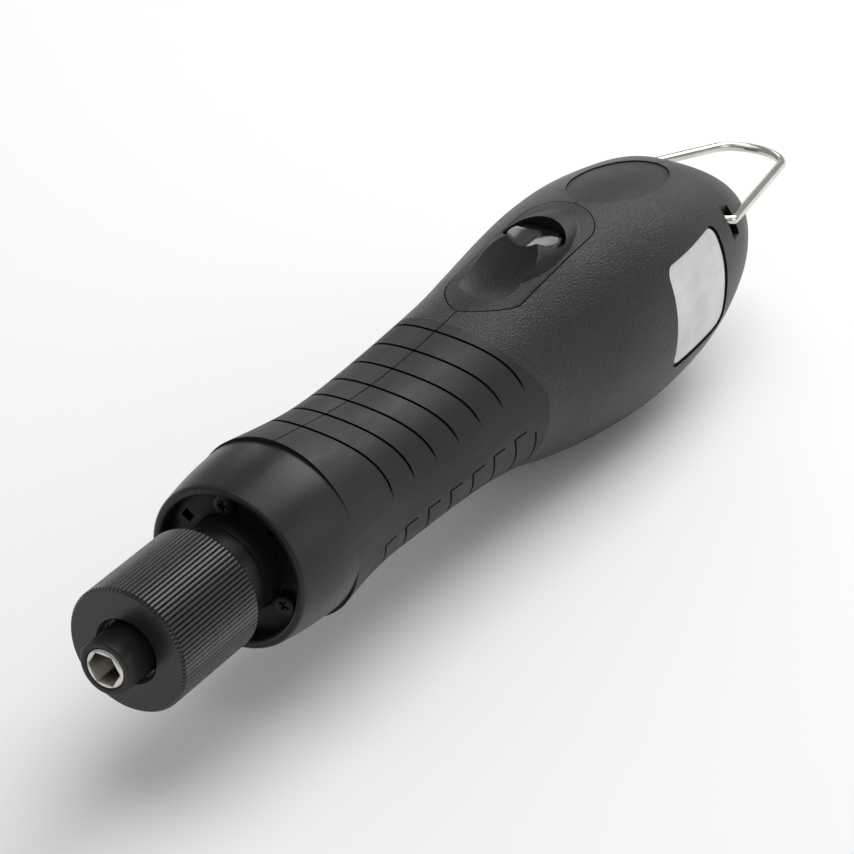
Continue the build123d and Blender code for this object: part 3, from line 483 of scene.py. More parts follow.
def mix_finishes():
    """Makes every finish of the screwdriver once.

    A moulded finish takes colour, roughness, grain per metre and strength of the grain; a turned
    or faced one colour, roughness and metallic; plain metal colour, roughness and metallic.
    """
    colours = bpy.context.scene.finish_colours
    FINISHES.update(
        abs_black=moulded_finish("abs_black", colours.shell, 0.36, 2250.0, 1.0, gloss=0.3),
        panel_black=moulded_finish("panel_black", colours.shell, 0.42, 2200.0, 0.5, gloss=0.2),
        cap_black=moulded_finish("cap_black", colours.cap, 0.32, 3000.0, 0.12, wear=0.04, gloss=0.32),
        plate_grey=moulded_finish("plate_grey", (0.006, 0.006, 0.0065), 0.34, 2500.0, 0.2, gloss=0.16),
        rocker_black=moulded_finish(
            "rocker_black", (0.010, 0.010, 0.0105), 0.12, 900.0, 0.03, wear=0.02, gloss=0.6
        ),
        rubber_black=rubber_finish("rubber_black", colours.rubber),
        screw_black=plain_metal("screw_black", (0.022, 0.022, 0.023), 0.30, 0.8),
        anodised_black=turned_finish("anodised_black", colours.nut, 0.30, 0.0),
        nut_face=faced_finish("nut_face", colours.nut, 0.30, 0.0),
        barrel_black=turned_finish("barrel_black", (0.008, 0.008, 0.0085), 0.30, 0.0, gloss=0.25),
        collar_black=turned_finish("collar_black", (0.010, 0.010, 0.0105), 0.34, 0.0, gloss=0.3),
        holder_steel=turned_finish("holder_steel", colours.steel, 0.22, 1.0),
        bright_wire=plain_metal("bright_wire", (0.60, 0.58, 0.52), 0.16, stretch=(0.1, 1.0, 1.0)),
        nickel=turned_finish("nickel", (0.58, 0.57, 0.54), 0.24, 1.0),
        steel=plain_metal("steel", (0.42, 0.42, 0.42), 0.3),
        gear_steel=plain_metal("gear_steel", (0.25, 0.25, 0.26), 0.34),
        spring_steel=plain_metal("spring_steel", (0.32, 0.32, 0.34), 0.28),
        aluminium_case=turned_finish("aluminium_case", (0.50, 0.51, 0.52), 0.32, 1.0),
        bronze=turned_finish("bronze", (0.46, 0.30, 0.14), 0.4, 1.0),
        copper=plain_metal("copper", (0.60, 0.24, 0.10), 0.3),
        brass_pins=plain_metal("brass_pins", (0.75, 0.57, 0.25), 0.22),
        board_green=moulded_finish("board_green", (0.012, 0.10, 0.04), 0.25, 500.0, 0.1),
        label_silver=plain_metal("label_silver", colours.label, 0.42, 0.4, stretch=(0.06, 1.0, 1.0)),
    )


def give(piece, name, node):
    """Gives a piece its finish, and the body and the place of the CAD node that it stands for."""
    piece.data.materials.clear()
    piece.data.materials.append(FINISHES[name])
    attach(piece, NODES[node]["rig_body"])
    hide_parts(node)


# Work with single pieces


def start_clean():
    """Leaves edit mode and deselects everything."""
    if bpy.context.object and bpy.context.object.mode != "OBJECT":
        bpy.ops.object.mode_set(mode="OBJECT")
    bpy.ops.object.select_all(action="DESELECT")


def pick(piece):
    """Makes a piece the only one selected."""
    start_clean()
    piece.select_set(True)
    bpy.context.view_layer.objects.active = piece


def settle(piece, name=None):
    """Applies the piece's place, so that its object stays at the origin."""
    pick(piece)
    bpy.ops.object.transform_apply(location=True, rotation=True, scale=True)
    if name:
        piece.name = name
        piece.data.name = name
    return piece


def face_out(piece):
    """Merges doubled points and turns all faces outwards."""
    pick(piece)
    bpy.ops.object.mode_set(mode="EDIT")
    bpy.ops.mesh.select_all(action="SELECT")
    bpy.ops.mesh.remove_doubles(threshold=0.000002)
    bpy.ops.mesh.normals_make_consistent(inside=False)
    bpy.ops.object.mode_set(mode="OBJECT")


def smooth(piece, angle):
    """Shades the piece smooth, with edges kept where it turns by more than angle."""
    pick(piece)
    bpy.ops.object.shade_smooth_by_angle(angle=radians(angle))
    return piece


def copy_of(piece, name):
    """A copy of a piece with its own mesh."""
    pick(piece)
    bpy.ops.object.duplicate()
    twin = bpy.context.object
    twin.name = name
    twin.data.name = name
    return twin


def cut(piece, tool, operation="DIFFERENCE", keep_tool=False, overlapping=False):
    """Cuts, joins or intersects a piece with a tool."""
    pick(piece)
    modifier = piece.modifiers.new("cut", "BOOLEAN")
    modifier.operation = operation
    modifier.solver = "EXACT"
    modifier.use_self = overlapping
    modifier.object = tool
    bpy.ops.object.modifier_apply(modifier="cut")
    if not keep_tool:
        bpy.data.objects.remove(tool)
    return piece


def join(first, *others):
    """Joins pieces to the first one."""
    pick(first)
    for other in others:
        other.select_set(True)
    bpy.ops.object.join()
    return first


def soften(piece, width, angle, segments=2):
    """Bevels the piece's edges where it turns by more than angle."""
    pick(piece)
    modifier = piece.modifiers.new("bevel", "BEVEL")
    modifier.width = width
    modifier.segments = segments
    modifier.limit_method = "ANGLE"
    modifier.angle_limit = radians(angle)
    modifier.use_clamp_overlap = True
    modifier.harden_normals = False
    bpy.ops.object.modifier_apply(modifier="bevel")
    return piece


def block(name, low, high):
    """A box between two corners."""
    start_clean()
    middle = [(a + b) / 2 for a, b in zip(low, high)]
    bpy.ops.mesh.primitive_cube_add(size=1, location=middle)
    bpy.context.object.scale = [b - a for a, b in zip(low, high)]
    return settle(bpy.context.object, name)


def slab(station, height, length, lean, width):
    """A thin slab across the handle, leaning back from its upper end."""
    start_clean()
    middle = Vector((station, 0, height)) + Vector((sin(lean), 0, -cos(lean))) * length / 2
    bpy.ops.mesh.primitive_cube_add(size=1, location=middle, rotation=(0, -lean, 0))
    bpy.context.object.scale = (width, 2 * OVER, length)
    return settle(bpy.context.object, "slab")


def rod(location, radius, depth, turn, vertices=32):
    """A round cutting rod between two faces of the handle, turned from upright."""
    start_clean()
    bpy.ops.mesh.primitive_cylinder_add(
        vertices=vertices, radius=radius, depth=depth, location=location, rotation=turn
    )
    return settle(bpy.context.object, "rod")


def groove_bar(station, low, width):
    """A thin bar across the handle that curves back from its upper end and thins out below."""
    high = section_at(station)[0] + MM
    bar = block("groove_bar", (station - width / 2, -OVER, low), (station + width / 2, OVER, high))
    bpy.ops.object.mode_set(mode="EDIT")
    bpy.ops.mesh.select_all(action="SELECT")
    bpy.ops.mesh.subdivide(number_cuts=11)
    bpy.ops.object.mode_set(mode="OBJECT")
    for vertex in bar.data.vertices:
        down = high - MM - vertex.co.z
        fade = min(1.0, 0.15 + (vertex.co.z - low) / GROOVE_TAPER)
        back = GROOVE_SLOPE * down - GROOVE_BEND * down * down
        vertex.co.x = station + (vertex.co.x - station) * fade + back
    return bar


def egg(name, station, height, sizes, tilt=0.0):
    """An egg-shaped solid with its poles on the tool's length, its rear raised by tilt."""
    start_clean()
    bpy.ops.mesh.primitive_uv_sphere_add(
        segments=96, ring_count=64, radius=1, location=(station, 0, height), rotation=(0, pi / 2 - tilt, 0)
    )
    bpy.context.object.scale = (sizes[2], sizes[1], sizes[0])
    return settle(bpy.context.object, name)


def spun(name, profile, steps=128):
    """A ring or a bar turned about the tool axis from (station, radius) corners."""
    start_clean()
    bpy.ops.mesh.primitive_plane_add(size=MM, location=(0, 0, 0))
    piece = bpy.context.object
    bpy.ops.object.mode_set(mode="EDIT")
    bpy.ops.mesh.delete(type="VERT")
    bpy.ops.object.mode_set(mode="OBJECT")
    edges = [(number, (number + 1) % len(profile)) for number in range(len(profile))]
    piece.data.from_pydata([(x, 0, r) for x, r in profile], edges, [])
    piece.data.update()
    pick(piece)
    bpy.ops.object.mode_set(mode="EDIT")
    bpy.ops.mesh.select_all(action="SELECT")
    bpy.ops.mesh.spin(steps=steps, angle=2 * pi, center=(0, 0, 0), axis=(1, 0, 0))
    bpy.ops.object.mode_set(mode="OBJECT")
    face_out(piece)
    piece.name = name
    piece.data.name = name
    return piece


def rounded(corners, radius, steps):
    """Points of a profile whose corners are (station, radius, round?), with the marked ones rounded."""
    points = []
    count = len(corners)
    for number, (x, y, turn) in enumerate(corners):
        if not turn:
            points.append((x, y))
            continue
        here = Vector((x, y))
        before = (Vector(corners[number - 1][:2]) - here).normalized() * radius
        after = (Vector(corners[(number + 1) % count][:2]) - here).normalized() * radius
        for step in range(steps + 1):
            t = step / steps
            point = here + before * (1 - t) ** 2 + after * t**2
            points.append(tuple(point))
    return points


def wire(name, points, radius):
    """A round wire bent along a line of points."""
    start_clean()
    bpy.ops.curve.primitive_nurbs_path_add()
    line = bpy.context.object.data
    line.splines.clear()
    line.bevel_depth = radius
    line.bevel_resolution = 6
    line.use_fill_caps = True
    spline = line.splines.new("POLY")
    spline.points.add(len(points) - 1)
    for place, point in zip(spline.points, points):
        place.co = (*point, 1)
    bpy.ops.object.convert(target="MESH")
    piece = settle(bpy.context.object, name)
    face_out(piece)
    return piece


def dressed(node, finish, width, angle=30):
    """A smooth copy of a CAD node, with its edges softened, that stands for it."""
    piece = copy_of(NODES[node], f"{node}_dressed")
    piece.parent = None
    face_out(piece)
    soften(piece, width, angle)
    smooth(piece, angle)
    give(piece, finish, node)
    return piece


# The handle's outside form


def row_at(table, station):
    """The three values of a table at a station, on a smooth curve through its rows."""
    share = min(1.0, max(0.0, (station - HANDLE_FRONT) / HANDLE_LENGTH))
    number = max(n for n, row in enumerate(table[:-1]) if row[0] <= share)
    near, far = table[number], table[number + 1]
    before = table[max(0, number - 1)]
    after = table[min(len(table) - 1, number + 2)]
    span = far[0] - near[0]
    t = (share - near[0]) / span
    values = []
    for column in (1, 2, 3):
        leave = (far[column] - before[column]) / (far[0] - before[0]) * span
        arrive = (after[column] - near[column]) / (after[0] - near[0]) * span
        values.append(
            (2 * t**3 - 3 * t**2 + 1) * near[column]
            + (t**3 - 2 * t**2 + t) * leave
            + (3 * t**2 - 2 * t**3) * far[column]
            + (t**3 - t**2) * arrive
        )
    return values


def section_at(station):
    """Height, drop and half width of the handle at a station."""
    return [value * MM for value in row_at(SECTIONS, station)]


def half_width_at(station, height):
    """Distance from the middle plane out to the handle's surface at a height."""
    top, drop, half = section_at(station)
    upper, lower, lift = row_at(FULLNESS, station)
    power = upper if height + drop > 0 else lower
    tall = top + drop - (0 if height + drop > 0 else lift * MM)
    return half * max(0.0, 1 - abs((height + drop) / tall) ** power) ** (1 / power)


def handle_form(name, inset):
    """The handle's outside form, drawn in by inset.

    A ring is extruded and resized at each section, and then filled out as FULLNESS says.
    """
    sizes = bpy.context.scene.handle_sizes
    front = HANDLE_FRONT - (0.5 * MM if inset else 0)
    rear = HANDLE_REAR - inset
    stations = [front + (rear - front) * n / sizes.along for n in range(sizes.along)]
    stations += [rear - REAR_ROUND * (1 - sin(pi / 2 * n / 6)) for n in range(7)]
    stations = sorted(set(round(s, 7) for s in stations))
    start_clean()
    bpy.ops.mesh.primitive_circle_add(
        vertices=sizes.around,
        radius=1,
        fill_type="NGON",
        location=(stations[0], 0, 0),
        rotation=(0, pi / 2, 0),
    )
    form = settle(bpy.context.object, name)
    bpy.ops.object.mode_set(mode="EDIT")
    bpy.ops.mesh.select_all(action="SELECT")
    last = (stations[0], 0.0, 1.0, 1.0)
    rings = []
    for number, station in enumerate(stations):
        top, drop, half = section_at(station)
        shrink = inset
        if rear - station < REAR_ROUND:
            into = min(1.0, (REAR_ROUND - (rear - station)) / REAR_ROUND)
            shrink += REAR_ROUND * (1 - (1 - into**2) ** 0.5) * 0.8
        tall, broad = top + drop - shrink, half - shrink
        if number:
            bpy.ops.mesh.extrude_region_move(
                TRANSFORM_OT_translate={"value": (station - last[0], 0, -drop - last[1])}
            )
        else:
            bpy.ops.transform.translate(value=(0, 0, -drop))
        bpy.ops.transform.resize(
            value=(1, broad / last[2], tall / last[3]),
            orient_type="GLOBAL",
            center_override=(station, 0, -drop),
        )
        last = (station, -drop, broad, tall)
        rings.append(last)
    bpy.ops.object.mode_set(mode="OBJECT")
    for vertex in form.data.vertices:
        station, centre, broad, tall = min(rings, key=lambda ring: abs(ring[0] - vertex.co.x))
        upper, lower, lift = row_at(FULLNESS, station)
        across, up = vertex.co.y / broad, (vertex.co.z - centre) / tall
        power = upper if up > 0 else lower
        reach = (abs(across) ** power + abs(up) ** power) ** (-1 / power)
        vertex.co.y = broad * across * reach
        vertex.co.z = centre + (tall - (0 if up > 0 else lift * MM)) * up * reach
    face_out(form)
    return form


FORMS = {}


def form_copy(name):
    """A copy of one of the handle's forms, to cut with."""
    return copy_of(FORMS[name], f"{name}_form")


def half_space(side):
    """Everything on one side of the middle plane, less half the seam."""
    if side > 0:
        return block("half", (0.0, SEAM, -0.1), (0.3, 0.1, 0.1))
    return block("half", (0.0, -0.1, -0.1), (0.3, -SEAM, 0.1))


def grip_block(shrink):
    """Side view of the grip's end, carried across the handle."""
    front, rear = HANDLE_FRONT - MM, GRIP_REAR - shrink
    piece = block("grip_block", (front, -0.05, -0.08), (rear, 0.05, 0.0))
    upper = block("upper", (front, -0.05, 0.0), (rear, 0.05, OVER))
    for vertex in upper.data.vertices:
        if vertex.co.x > HANDLE_FRONT and vertex.co.z > OVER / 2:
            vertex.co.x -= OVER * tan(GRIP_LEAN)
    return cut(piece, upper, "UNION")


def panel_bar(wider):
    """The switch panel's outline with its pointed nose and round rear, standing along Z."""
    bar = oval_bar(0, 1, 1, 0)
    half = PANEL_HALF_WIDTH + wider
    for vertex in bar.data.vertices:
        x, y = vertex.co.x, vertex.co.y
        if x < 0:
            reach = (abs(x) ** PANEL_POWER + abs(y) ** PANEL_POWER) ** (-1 / PANEL_POWER)
            vertex.co.x = PANEL_FRONT - wider + PANEL_NOSE * (1 + x * reach)
            vertex.co.y = half * y * reach
        else:
            vertex.co.x = PANEL_REAR + wider - half * (1 - x)
            vertex.co.y = half * y
    return bar


def oval_bar(station, half_length, half_width, low):
    """An oval bar standing along Z, from low to above the handle."""
    start_clean()
    bpy.ops.mesh.primitive_cylinder_add(
        vertices=96, radius=1, depth=OVER - low, location=(station, 0, (low + OVER) / 2)
    )
    bpy.context.object.scale = (half_length, half_width, 1)
    return settle(bpy.context.object, "oval_bar")


def label_bar(near_gap, far_gap):
    """The label's rounded outline, drawn in at its front and top and at its rear and foot."""
    low = (LABEL_FRONT + near_gap, -OVER, LABEL_LOW + far_gap)
    high = (LABEL_REAR - far_gap, 0.0, LABEL_HIGH - near_gap)
    bar = block("label_bar", low, high)
    pick(bar)
    bpy.ops.object.mode_set(mode="EDIT")
    bpy.ops.mesh.select_all(action="DESELECT")
    bpy.ops.object.mode_set(mode="OBJECT")
    for edge in bar.data.edges:
        ends = [bar.data.vertices[v].co for v in edge.vertices]
        edge.select = abs(ends[0].y - ends[1].y) > OVER / 2
    bpy.ops.object.mode_set(mode="EDIT")
    bpy.ops.mesh.select_mode(type="EDGE")
    bpy.ops.mesh.bevel(offset=LABEL_CORNER - near_gap, segments=8, affect="EDGES")
    bpy.ops.object.mode_set(mode="OBJECT")
    return bar


class SCREWDRIVER_OT_handle_forms(bpy.types.Operator):
    """Makes the handle's form at each depth that the moulded pieces need"""

    bl_idname = "screwdriver.handle_forms"
    bl_label = "Handle forms"

    def execute(self, context):
        sizes = context.scene.handle_sizes
        FORMS["outer"] = handle_form("outer_form", 0)
        FORMS["skin"] = handle_form("skin_form", sizes.skin)
        FORMS["groove"] = handle_form("groove_form", sizes.groove_depth)
        FORMS["wall"] = handle_form("wall_form", sizes.wall)
        FORMS["recess"] = handle_form("recess_form", RECESS_DEPTH)
        FORMS["inlay"] = handle_form("inlay_form", INLAY_DEPTH)
        return {"FINISHED"}


class SCREWDRIVER_OT_rubber_grip(bpy.types.Operator):
    """Moulds the two halves of the grooved rubber grip"""

    bl_idname = "screwdriver.rubber_grip"
    bl_label = "Rubber grip"

    def execute(self, context):
        sizes = context.scene.handle_sizes
        grooves = []
        for number in range(GROOVES):
            station = GROOVE_START + GROOVE_PITCH * number
            grooves.append(groove_bar(station, GROOVE_END, sizes.groove_width))
        for number in range(BELLY_GROOVES):
            station = BELLY_START + BELLY_PITCH * number
            last = number == BELLY_GROOVES - 1
            start = BELLY_LAST_TOP if last else BELLY_TOP
            grooves.append(slab(station, start, 0.05, BELLY_LEAN, sizes.groove_width * 0.8))
            if not last:
                grooves.append(slab(station, start, BELLY_TAIL, radians(88), sizes.groove_width * 0.6))
        cutters = join(*grooves)
        cut(cutters, form_copy("groove"), overlapping=True)
        skin = form_copy("outer")
        cut(skin, form_copy("skin"))
        cut(skin, grip_block(FIT), "INTERSECT")
        cut(skin, panel_bar(0))
        cut(skin, cutters, overlapping=True)
        for side, name in ((1, "left"), (-1, "right")):
            grip = copy_of(skin, f"rubber_grip_{name}")
            cut(grip, half_space(side), "INTERSECT")
            if side > 0:
                station, height = SCREWS[0]
                cut(grip, rod((station, 0.03, height), SCREW_HOLE_RADIUS, 0.06, (pi / 2, 0, 0)))
            face_out(grip)
            smooth(grip, 28)
            give(grip, "rubber_black", f"grip_{name}")
        bpy.data.objects.remove(skin)
        return {"FINISHED"}


class SCREWDRIVER_OT_shell_halves(bpy.types.Operator):
    """Moulds the two halves of the handle's shell, with the label recess and the bail slots"""

    bl_idname = "screwdriver.shell_halves"
    bl_label = "Shell halves"

    def execute(self, context):
        grip = grip_block(0)
        cut(grip, form_copy("skin"))
        panel = panel_bar(SEAM)
        cut(panel, form_copy("skin"))
        shell = form_copy("outer")
        cut(shell, grip)
        cut(shell, panel)
        cut(shell, form_copy("wall"))
        cut(shell, oval_bar(CORE_STATION, CORE_HALF_LENGTH, CORE_HALF_WIDTH, 10 * MM))
        label = label_bar(0, 0)
        cut(label, form_copy("recess"))
        cut(shell, label)
        pad = oval_bar(PAD_STATION, PAD_HALF_LENGTH, PAD_HALF_WIDTH, 0)
        cut(pad, form_copy("recess"))
        cut(shell, pad)
        seat = half_width_at(BAIL_STATION, BAIL_HEIGHT) - SLOT_DEPTH
        for side in (1, -1):
            inner, outer = sorted((side * seat, side * OVER))
            low = (BAIL_STATION - SLOT_HALF_WIDTH, inner, SLOT_LOW)
            high = (BAIL_STATION + SLOT_HALF_WIDTH, outer, SLOT_HIGH)
            cut(shell, block("slot", low, high))
        cut(shell, rod((HANDLE_REAR, 0, -CONNECTOR_DROP), CONNECTOR_RADIUS, 0.02, (0, pi / 2, 0), 64))
        for side, name in ((1, "left"), (-1, "right")):
            half = copy_of(shell, f"shell_half_{name}")
            cut(half, half_space(side), "INTERSECT")
            if side > 0:
                for station, height in SCREWS:
                    middle = half_width_at(station, height) - SCREW_HOLE_DEPTH + 0.015
                    cut(half, rod((station, middle, height), SCREW_HOLE_RADIUS, 0.03, (pi / 2, 0, 0)))
            face_out(half)
            smooth(half, 28)
            give(half, "abs_black", f"housing_{name}")
        bpy.data.objects.remove(shell)
        return {"FINISHED"}


class SCREWDRIVER_OT_switch_panel(bpy.types.Operator):
    """Moulds the switch panel with its thumb scoop and the hood behind the switch"""

    bl_idname = "screwdriver.switch_panel"
    bl_label = "Switch panel"

    def execute(self, context):
        panel = form_copy("outer")
        cut(panel, form_copy("skin"))
        cut(panel, panel_bar(-SEAM), "INTERSECT")
        hood = egg("hood", HOOD_STATION, HOOD_HEIGHT, HOOD_SIZES)
        well = oval_bar(
            CORE_STATION, CORE_HALF_LENGTH - 0.1 * MM, CORE_HALF_WIDTH - 0.3 * MM, CORE_FLOOR
        )
        cut(hood, well, "INTERSECT", keep_tool=True)
        core = form_copy("groove")
        cut(core, well, "INTERSECT")
        cut(core, hood, "UNION")
        cut(panel, core, "UNION")
        cut(panel, egg("scoop", SCOOP_STATION, SCOOP_HEIGHT, SCOOP_SIZES, SCOOP_TILT))
        cut(panel, oval_bar(ROCKER_STATION, *ROCKER_HOLE, CORE_FLOOR - 0.1 * MM))
        face_out(panel)
        soften(panel, 0.3 * MM, 40, segments=3)
        smooth(panel, 40)
        panel.name = "switch_panel_moulding"
        give(panel, "panel_black", "switch_panel")
        return {"FINISHED"}


class SCREWDRIVER_OT_direction_rocker(bpy.types.Operator):
    """Dresses the direction rocker and fits its outline to the oval hole"""

    bl_idname = "screwdriver.direction_rocker"
    bl_label = "Direction rocker"

    def execute(self, context):
        rocker = dressed("direction_rocker", "rocker_black", 0.25 * MM, 25)
        for vertex in rocker.data.vertices:
            vertex.co.x = ROCKER_STATION + (vertex.co.x - SWITCH_STATION) * ROCKER_LENGTH_SHARE
        return {"FINISHED"}


class SCREWDRIVER_OT_label_and_pad(bpy.types.Operator):
    """Lays the bare foil label and the oval pad in their recesses"""

    bl_idname = "screwdriver.label_and_pad"
    bl_label = "Label and pad"

    def execute(self, context):
        label = label_bar(LABEL_NEAR_GAP, LABEL_FAR_GAP)
        cut(label, form_copy("inlay"), "INTERSECT")
        cut(label, form_copy("recess"))
        face_out(label)
        smooth(label, 30)
        label.name = "foil_label"
        give(label, "label_silver", "label_plate")
        pad = oval_bar(PAD_STATION, PAD_HALF_LENGTH - PAD_GAP, PAD_HALF_WIDTH - PAD_GAP, 0)
        cut(pad, form_copy("inlay"), "INTERSECT")
        cut(pad, form_copy("recess"))
        face_out(pad)
        smooth(pad, 30)
        pad.name = "oval_pad"
        give(pad, "panel_black", "top_pad")
        return {"FINISHED"}


class SCREWDRIVER_OT_front_cap(bpy.types.Operator):
    """Turns the front cap with its rounded lip, and dresses the plate and its screws"""

    bl_idname = "screwdriver.front_cap"
    bl_label = "Front cap"

    def execute(self, context):
        corners = []
        for step in range(13):
            t = step / 12
            radius = CAP_LIP_RADIUS + CAP_FLARE * t + CAP_SWELL * t * (1 - t)
            corners.append((CAP_FRONT + CAP_LENGTH * t, radius, step == 0))
        corners += [
            (HANDLE_FRONT, CAP_SPIGOT_RADIUS, False),
            (CAP_SPIGOT_REAR, CAP_SPIGOT_RADIUS, False),
            (CAP_SPIGOT_REAR, CAP_INNER_RADIUS, False),
            (PLATE_SEAT, CAP_INNER_RADIUS, False),
            (PLATE_SEAT, CAP_BORE, False),
            (CAP_FRONT, CAP_BORE, True),
        ]
        cap = spun("turned_cap", rounded(corners, 0.85 * MM, 6))
        smooth(cap, 30)
        give(cap, "cap_black", "front_cap")
        dressed("front_plate", "plate_grey", 0.1 * MM)
        dressed("plate_screws", "screw_black", 0.12 * MM)
        return {"FINISHED"}


class SCREWDRIVER_OT_torque_nut(bpy.types.Operator):
    """Knurls the torque nut"""

    bl_idname = "screwdriver.torque_nut"
    bl_label = "Torque nut"

    def execute(self, context):
        sizes = context.scene.nut_sizes
        points = len(KNURL) * sizes.teeth
        start_clean()
        bpy.ops.mesh.primitive_circle_add(
            vertices=points, radius=NUT_RADIUS, location=(NUT_FRONT, 0, 0), rotation=(0, pi / 2, 0)
        )
        nut = settle(bpy.context.object, "knurled_nut")
        bpy.ops.object.mode_set(mode="EDIT")
        bpy.ops.mesh.select_all(action="SELECT")
        stations = [NUT_FRONT, NUT_FRONT + sizes.chamfer, NUT_REAR - sizes.chamfer, NUT_REAR]
        for here, there in zip(stations, stations[1:]):
            bpy.ops.mesh.extrude_region_move(TRANSFORM_OT_translate={"value": (there - here, 0, 0)})
        bpy.ops.object.mode_set(mode="OBJECT")
        for vertex in nut.data.vertices:
            turn = Vector((vertex.co.y, vertex.co.z)).angle_signed(Vector((1, 0))) / (2 * pi)
            point = round((turn % 1) * points) % len(KNURL)
            inner = stations[1] - MM * 0.01 < vertex.co.x < stations[2] + MM * 0.01
            depth = KNURL[point] * sizes.depth if inner else sizes.chamfer * 0.8
            factor = (NUT_RADIUS - depth) / NUT_RADIUS
            vertex.co.y *= factor
            vertex.co.z *= factor
        face_out(nut)
        pick(nut)
        bpy.ops.object.mode_set(mode="EDIT")
        bpy.ops.mesh.select_all(action="DESELECT")
        bpy.ops.mesh.select_non_manifold()
        bpy.ops.mesh.fill_holes(sides=0)
        bpy.ops.mesh.normals_make_consistent(inside=False)
        bpy.ops.object.mode_set(mode="OBJECT")
        ease = 0.5 * MM
        bore = [
            (NUT_FRONT - MM, 0.1 * MM),
            (NUT_FRONT - MM, NUT_MOUTH + ease),
            (NUT_FRONT, NUT_MOUTH + ease),
            (NUT_FRONT + ease, NUT_MOUTH),
            (NUT_BORE_FRONT, NUT_MOUTH),
            (NUT_BORE_FRONT, NUT_BORE),
            (NUT_REAR - ease, NUT_BORE),
            (NUT_REAR, NUT_BORE + 0.44 * MM),
            (NUT_REAR + MM, NUT_BORE + 0.44 * MM),
            (NUT_REAR + MM, 0.1 * MM),
        ]
        cut(nut, spun("nut_bore", bore, 96))
        face_out(nut)
        give(nut, "anodised_black", "torque_nut")
        nut.data.materials.append(FINISHES["nut_face"])
        for polygon in nut.data.polygons:
            if abs(polygon.normal.x) > 0.9:
                polygon.material_index = 1
        smooth(nut, 24)
        return {"FINISHED"}


class SCREWDRIVER_OT_bit_holder(bpy.types.Operator):
    """Dresses the bit holder, its black collar and the clip behind it"""

    bl_idname = "screwdriver.bit_holder"
    bl_label = "Bit holder"

    def execute(self, context):
        dressed("spindle", "holder_steel", 0.12 * MM)
        corners = [
            (COLLAR_FRONT, COLLAR_BORE, True),
            (COLLAR_FRONT, COLLAR_RADIUS, True),
            (COLLAR_REAR, COLLAR_RADIUS, True),
            (COLLAR_REAR, COLLAR_SPRING_BORE, False),
            (COLLAR_SPRING_SEAT, COLLAR_SPRING_BORE, False),
            (COLLAR_SPRING_SEAT, COLLAR_BORE, False),
        ]
        collar = spun("turned_collar", rounded(corners, 0.45 * MM, 5), 96)
        smooth(collar, 30)
        give(collar, "collar_black", "bit_collar")
        for node, finish in (("collar_clip", "steel"), ("clutch_barrel", "barrel_black")):
            dressed(node, finish, 0.1 * MM)
        return {"FINISHED"}


class SCREWDRIVER_OT_hanging_bail(bpy.types.Operator):
    """Bends the wire bail"""

    bl_idname = "screwdriver.hanging_bail"
    bl_label = "Hanging bail"

    def execute(self, context):
        turn = pi / 2 + BAIL_TAPER
        elbow_start = BAIL_HALF_WIDTH - BAIL_ELBOW * tan(turn / 2)
        line = [(0.0, half_width_at(BAIL_STATION, BAIL_HEIGHT) - SLOT_DEPTH - BAIL_TIP)]
        for step in range(13):
            angle = turn * step / 12
            line.append((BAIL_ELBOW * (1 - cos(angle)), elbow_start + BAIL_ELBOW * sin(angle)))
        for step in range(25):
            angle = BAIL_TAPER + (pi / 2 - BAIL_TAPER) * step / 24
            line.append((BAIL_REACH + BAIL_BEND * sin(angle), BAIL_BEND * cos(angle)))
        line += [(along, -across) for along, across in reversed(line[:-1])]
        path = []
        for along, across in line:
            station = BAIL_STATION + along * cos(BAIL_DROOP)
            path.append((station, across, BAIL_HEIGHT - along * sin(BAIL_DROOP)))
        bail = wire("wire_bail", path, WIRE_RADIUS)
        smooth(bail, 40)
        give(bail, "bright_wire", "bail")
        return {"FINISHED"}


class SCREWDRIVER_OT_connector(bpy.types.Operator):
    """Dresses the connector and the screws that hold the shell"""

    bl_idname = "screwdriver.connector"
    bl_label = "Connector and screws"

    def execute(self, context):
        dressed("connector_shell", "nickel", 0.2 * MM)
        dressed("housing_screws", "screw_black", 0.15 * MM)
        return {"FINISHED"}


class SCREWDRIVER_OT_inner_pieces(bpy.types.Operator):
    """Gives each piece inside the tool its finish"""

    bl_idname = "screwdriver.inner_pieces"
    bl_label = "Inner pieces"

    def execute(self, context):
        slots = {row["node"]: row["material_slot"] for row in frame["record"]["subparts"]}
        for name, node in NODES.items():
            node.data.materials.clear()
            node.data.materials.append(FINISHES[slots[name]])
        for form in FORMS.values():
            bpy.data.objects.remove(form)
        return {"FINISHED"}


